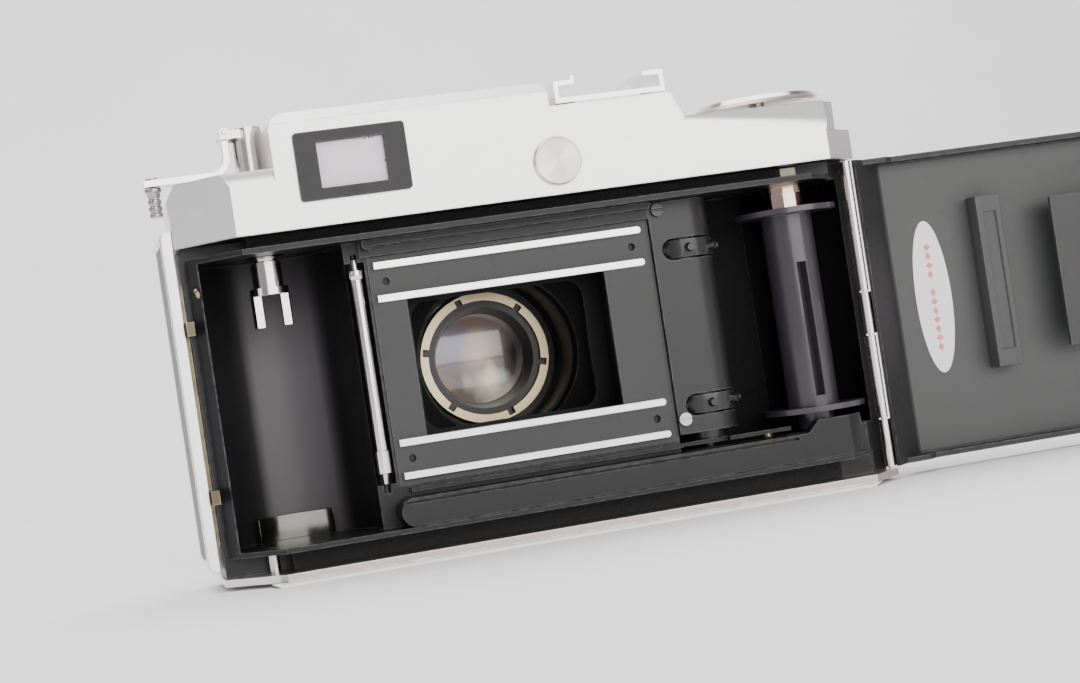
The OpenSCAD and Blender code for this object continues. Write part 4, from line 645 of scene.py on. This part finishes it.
# ---------------------------------------------------------------- accessory shoe and case screws
# The shoe is one strip of steel folded up and in at both sides, chromed, with four
# countersunk screws. The same slotted screws hold the base.
finish_node("accessory_shoe", bright_chrome, 0.15)
screw_nickel = plated("screw_nickel", (0.66, 0.65, 0.63), (0.50, 0.50, 0.48), 0.25)
finish_node("case_screws", screw_nickel)

# ---------------------------------------------------------------- rewind crank
# Hub, folding arm and handle are turned and pressed steel, chromed; the handle is
# knurled in three bands and left darker.
finish_node("rewind_hub", brushed("hub_chrome", (0.80, 0.76, 0.74), (0.66, 0.62, 0.60), 0.2, "Z"), 0.15)
finish_node("crank_arm", bright_chrome, 0.3, 3)
finish_node("crank_handle", plated("handle_steel", (0.48, 0.46, 0.45), (0.30, 0.28, 0.28), 0.28,
                                   worn=(0.7, 0.69, 0.68)), 0.08)

# ---------------------------------------------------------------- frame counter and release
# The counter dial is a turned chrome disc with engraved frame numbers. The release button
# beside it takes a cable release in its middle.
dial_low, dial_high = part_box("frame_counter")
dial_centre = Vector(((dial_low[0] + dial_high[0]) / 2, (dial_low[1] + dial_high[1]) / 2, dial_high[2]))
dial_chrome = turned("dial_chrome", (0.70, 0.60, 0.57), (0.46, 0.38, 0.36), 0.14, dial_centre, (1, 1, 0),
                     pitch_mm=0.3, depth_mm=0.006)
finish_node("frame_counter", dial_chrome, 0.2, 3)
finish_node("shutter_release", bright_chrome, 0.35, 3)


def engraved(name, labels, centre, reach, size, start, step, facing, body, material, ticks=0):
    """Figures and ticks round a centre at a reach, on a face that looks along Y or Z."""
    bm = bmesh.new()
    flat_on = Matrix.Identity(4) if facing == "Z" else Matrix.Rotation(-math.pi / 2, 4, "X")
    for index, label in enumerate(labels):
        curve = bpy.data.curves.new(name, "FONT")
        curve.body = label
        curve.size = size
        curve.align_x = curve.align_y = "CENTER"
        curve.extrude = 0.012 * MM
        curve.resolution_u = 3
        thing = bpy.data.objects.new(name, curve)
        bpy.context.scene.collection.objects.link(thing)
        mesh = bpy.data.meshes.new_from_object(thing.evaluated_get(bpy.context.evaluated_depsgraph_get()))
        bpy.data.objects.remove(thing)
        turn = Matrix.Rotation(math.radians(start + index * step), 4, facing)
        before = len(bm.verts)
        bm.from_mesh(mesh)
        bm.verts.ensure_lookup_table()
        place = Matrix.Translation(centre) @ turn @ flat_on @ Matrix.Translation((0, reach, 0))
        bmesh.ops.transform(bm, matrix=place, verts=bm.verts[before:])
    for index in range(ticks):
        turn = Matrix.Rotation(math.radians(start + index * step / 2), 4, facing)
        place = (Matrix.Translation(centre) @ turn @ flat_on @ Matrix.Translation((0, reach + size * 0.75, 0))
                 @ Matrix.Diagonal((size * 0.08, size * 0.35, 0.024 * MM, 1)))
        bmesh.ops.create_cube(bm, size=1.0, matrix=place)
    thing = mesh_object(name, bm)
    thing.data.materials.append(material)
    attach(thing, body)


ink = paint("engraving_black", (0.02, 0.02, 0.02), (0.01, 0.01, 0.01), 0.5, (0.05, 0.05, 0.05))
frames = [str(number) for number in range(0, 37, 4)]
engraved("counter_figures", frames, dial_centre, 7.8 * MM, 2.2 * MM, 90, -30, "Z", "counter", ink, ticks=19)

# ---------------------------------------------------------------- base and side panel
# The base plate is satin chromed brass with a raised foot strip, whose face is painted taupe as shade; its
# edges have a painted highlight that partly stands for wear. The left end wears a pressed rim of the same
# chrome round an inlay of black covering.
base, shader, place = start_material("base_satin")
handled = use_group(base, marks, Vector=place, Size=60.0)
edges = use_group(base, edge_shade_and_wear, Vector=place, Radius=0.5 * MM)
along = axis_of(base, place, 0)
low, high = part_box("base_plate")
# Painted shade: the face of the foot strip, away from the left end and above its lowest edge, is taupe.
strip = maths(base, "MULTIPLY", spread(base, along, 0.0, 1.0, low[0] + 8.5 * MM, low[0] + 8.9 * MM),
              spread(base, axis_of(base, place, 2), 0.0, 1.0, 0.35 * MM, 0.6 * MM))
silver = mix(base, handled["Patches"], (0.80, 0.78, 0.76), (0.88, 0.86, 0.84))
shade_taupe = mix(base, handled["Patches"], (0.46, 0.40, 0.36), (0.56, 0.50, 0.46))
tone = mix(base, strip, silver, shade_taupe)
# Painted highlight, partly wear: pale edges.
join(base, mix(base, edges["Wear"], tone, (0.90, 0.88, 0.86)), shader.inputs["Base Color"])
shader.inputs["Metallic"].default_value = 1.0
join(base, spread(base, handled["Scuffs"], 0.3, 0.42), shader.inputs["Roughness"])
grit = add(base, "ShaderNodeTexNoise", Vector=place, Scale=1800.0, Detail=4.0)
bump(base, shader, grit.outputs["Fac"], 0.012)
finish_node("base_plate", base, 0.2)
finish_node("tripod_bush", screw_nickel, 0.1)
finish_node("rewind_button", bright_chrome, 0.12)
finish_node("side_panel", pearl, 0.35, 3)

# Black grained covering, glued to the front, the left end and the door
leather, shader, place = start_material("leatherette")
handled = use_group(leather, marks, Vector=place, Size=50.0)
join(leather, mix(leather, handled["Patches"], (0.010, 0.010, 0.011), (0.020, 0.020, 0.021)),
     shader.inputs["Base Color"])
join(leather, spread(leather, handled["Scuffs"], 0.42, 0.62), shader.inputs["Roughness"])
bend = add(leather, "ShaderNodeTexNoise", Vector=place, Scale=300.0, Detail=3.0)
bent = add(leather, "ShaderNodeMix", Factor=0.0)
bent.data_type = "VECTOR"
bent.inputs[0].default_value = 0.0015
join(leather, place, bent.inputs[4])
join(leather, bend.outputs["Color"], bent.inputs[5])
cells = add(leather, "ShaderNodeTexVoronoi", Vector=bent.outputs[1], Scale=850.0)
cells.feature = "DISTANCE_TO_EDGE"
pebble = spread(leather, cells.outputs["Distance"], 0.0, 1.0, 0.0, 0.25)
fine = add(leather, "ShaderNodeTexNoise", Vector=place, Scale=2600.0, Detail=4.0)
even = bump(leather, shader, pebble, 0.09)
bump(leather, shader, fine.outputs["Fac"], 0.02, even)
finish_node("body_leather", leather, 0.1)

# ---------------------------------------------------------------- latch and hinge
# A sliding brass bar with two hooked tabs locks the door on the left. On the right the door
# hangs on a chromed rod through five rolled knuckles.
finish_node("latch_bar", plated("latch_brass", (0.16, 0.13, 0.08), (0.06, 0.05, 0.035), 0.3,
                                worn=(0.40, 0.34, 0.22)), 0.08)
hinge_chrome = plated("hinge_chrome", (0.88, 0.83, 0.81), (0.80, 0.75, 0.73), 0.24, 1200, 0.003)
finish_node("hinge_pin", hinge_chrome, 0.12)
finish_node("door_hinge_leaf", hinge_chrome, 0.12)

# ---------------------------------------------------------------- back door
# The door is pressed sheet, grey inside and near-black on its folded rims, which are partly black paint and
# partly painted shade; the angled hip by the hinge is painted near-black as shade. Riveted in it are
# the sprung pressure plate and a rib that holds the film on the sprocket.
door_grey, shader, place = start_material("door_grey")
handled = use_group(door_grey, marks, Vector=place, Size=45.0)
edges = use_group(door_grey, edge_shade_and_wear, Vector=place, Radius=0.5 * MM)
low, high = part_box("door_shell")
door_mid = (low[2] + high[2]) / 2
away = maths(door_grey, "ABSOLUTE", maths(door_grey, "SUBTRACT", axis_of(door_grey, place, 2), door_mid))
half_door = (high[2] - low[2]) / 2
# Painted shade: the rims, which are partly black paint, and the hip facet by the hinge are near-black.
rim = spread(door_grey, away, 0.0, 1.0, half_door - 1.6 * MM, half_door - 1.2 * MM)
hip = spread(door_grey, axis_of(door_grey, place, 0), 1.0, 0.0, 74.4 * MM, 74.9 * MM)
black_rims_and_hip_shade = maths(door_grey, "MAXIMUM", rim, hip)
grey = mix(door_grey, handled["Patches"], (0.050, 0.053, 0.051), (0.066, 0.069, 0.067))
black = mix(door_grey, handled["Patches"], (0.008, 0.008, 0.009), (0.014, 0.014, 0.015))
tone = mix(door_grey, black_rims_and_hip_shade, grey, black)
join(door_grey, mix(door_grey, edges["Wear"], tone, edge_highlight_and_wear), shader.inputs["Base Color"])
join(door_grey, spread(door_grey, handled["Scuffs"], 0.52, 0.7), shader.inputs["Roughness"])
peel = add(door_grey, "ShaderNodeTexNoise", Vector=place, Scale=1100.0, Detail=4.0)
bump(door_grey, shader, peel.outputs["Fac"], 0.02)
finish_node("door_shell", door_grey, 0.25)
finish_node("door_leather", leather, 0.1)
rib_grey = paint("rib_grey", (0.066, 0.069, 0.067), (0.050, 0.053, 0.051), 0.5, (0.14, 0.14, 0.14))
finish_node("film_guide_rib", rib_grey, 0.35, 3)
finish_node("pressure_plate", gate_black, 0.15)
finish_node("pressure_springs", plated("spring_steel", (0.66, 0.64, 0.58), (0.48, 0.46, 0.42), 0.2))

# A glazed paper label with a column of small red printed lozenges
label_low, label_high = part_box("film_label")
label_paper, shader, place = start_material("label_paper")
handled = use_group(label_paper, marks, Vector=place, Size=90.0)
join(label_paper, mix(label_paper, handled["Patches"], (0.88, 0.83, 0.845), (0.95, 0.92, 0.925)),
     shader.inputs["Base Color"])
join(label_paper, spread(label_paper, handled["Scuffs"], 0.35, 0.5), shader.inputs["Roughness"])
finish_node("film_label", label_paper)
lozenges = bmesh.new()
label_x, label_z = (label_low[0] + label_high[0]) / 2, (label_low[2] + label_high[2]) / 2
first_lozenge, lozenge_step, gap_at = 9.4 * MM, 1.72 * MM, 4
for index in range(12):
    if index == gap_at:
        continue
    shape = bmesh.ops.create_cone(lozenges, cap_ends=True, segments=4, radius1=0.72 * MM, radius2=0.72 * MM,
                                  depth=0.03 * MM)
    size = (0.8, 1.15, 1) if index % 2 else (1.05, 0.9, 1)
    bmesh.ops.transform(lozenges, verts=shape["verts"], matrix=Matrix.Translation(
        (label_x, label_low[1] - 0.012 * MM, label_z + first_lozenge - index * lozenge_step))
        @ Matrix.Rotation(math.pi / 2, 4, "X") @ Matrix.Diagonal((*size, 1)))
print_marks = mesh_object("label_lozenges", lozenges)
red_ink, shader, place = start_material("red_ink")
uneven = add(red_ink, "ShaderNodeTexNoise", Vector=place, Scale=1500.0, Detail=3.0)
join(red_ink, mix(red_ink, uneven.outputs["Fac"], (0.62, 0.10, 0.10), (0.85, 0.42, 0.42)),
     shader.inputs["Base Color"])
shader.inputs["Roughness"].default_value = 0.5
print_marks.data.materials.append(red_ink)
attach(print_marks, "door")

# ---------------------------------------------------------------- lens and shutter
# The front standard and the setting rings are satin chrome, the shutter case and barrel
# black enamel. Scales are engraved on the front faces of the rings and filled in black.
finish_node("lens_standard", pearl, 0.3, join_flats=False)
enamel = paint("lens_enamel", (0.018, 0.018, 0.019), (0.011, 0.011, 0.012), 0.28, edge_highlight_and_wear, coat=0.3)
finish_node("shutter_housing", enamel, 0.25)
finish_node("lens_barrel", enamel, 0.25)
metres, speeds = "1 1.2 1.5 2 3 5 10".split(), "B 1 2 5 10 25 50 100 300".split()
stops = "2.8 4 5.6 8 11 16 22".split()
rows = (("focus_ring", "focus_ring_body", 25.15, 1.5, metres, 150, 20),
        ("speed_ring", "speed_ring_body", 20.95, 1.45, speeds, 128, 13),
        ("aperture_ring", "aperture_ring_body", 17.3, 2.1, stops, 135, 15))
for name, body, reach, size, labels, start, step in rows:
    finish_node(name, pearl, 0.2)
    low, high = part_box(name)
    centre = Vector(((low[0] + high[0]) / 2, high[1] + 0.006 * MM, (low[2] + high[2]) / 2))
    engraved(f"{name}_figures", labels, centre, reach * MM, size * MM, start, step, "Y", body, ink)
front_coating, shader, place = start_material("front_glass")
handled = use_group(front_coating, marks, Vector=place, Size=120.0)
join(front_coating, mix(front_coating, handled["Patches"], (0.90, 0.86, 0.97), (0.96, 0.93, 0.90)),
     shader.inputs["Base Color"])
shader.inputs["Transmission Weight"].default_value = 0.95
shader.inputs["IOR"].default_value = 1.6
shader.inputs["Roughness"].default_value = 0.01
shader.inputs["Coat Weight"].default_value = 1.0
shader.inputs["Coat Tint"].default_value = (0.75, 0.6, 1.0, 1)
finish_node("front_glass", front_coating)

# ---------------------------------------------------------------- front levers
# The film advance lever and the shorter timer lever are chromed pressings on one pivot each.
finish_node("advance_lever", bright_chrome, 0.3, 3)
finish_node("timer_lever", bright_chrome, 0.25, 3)
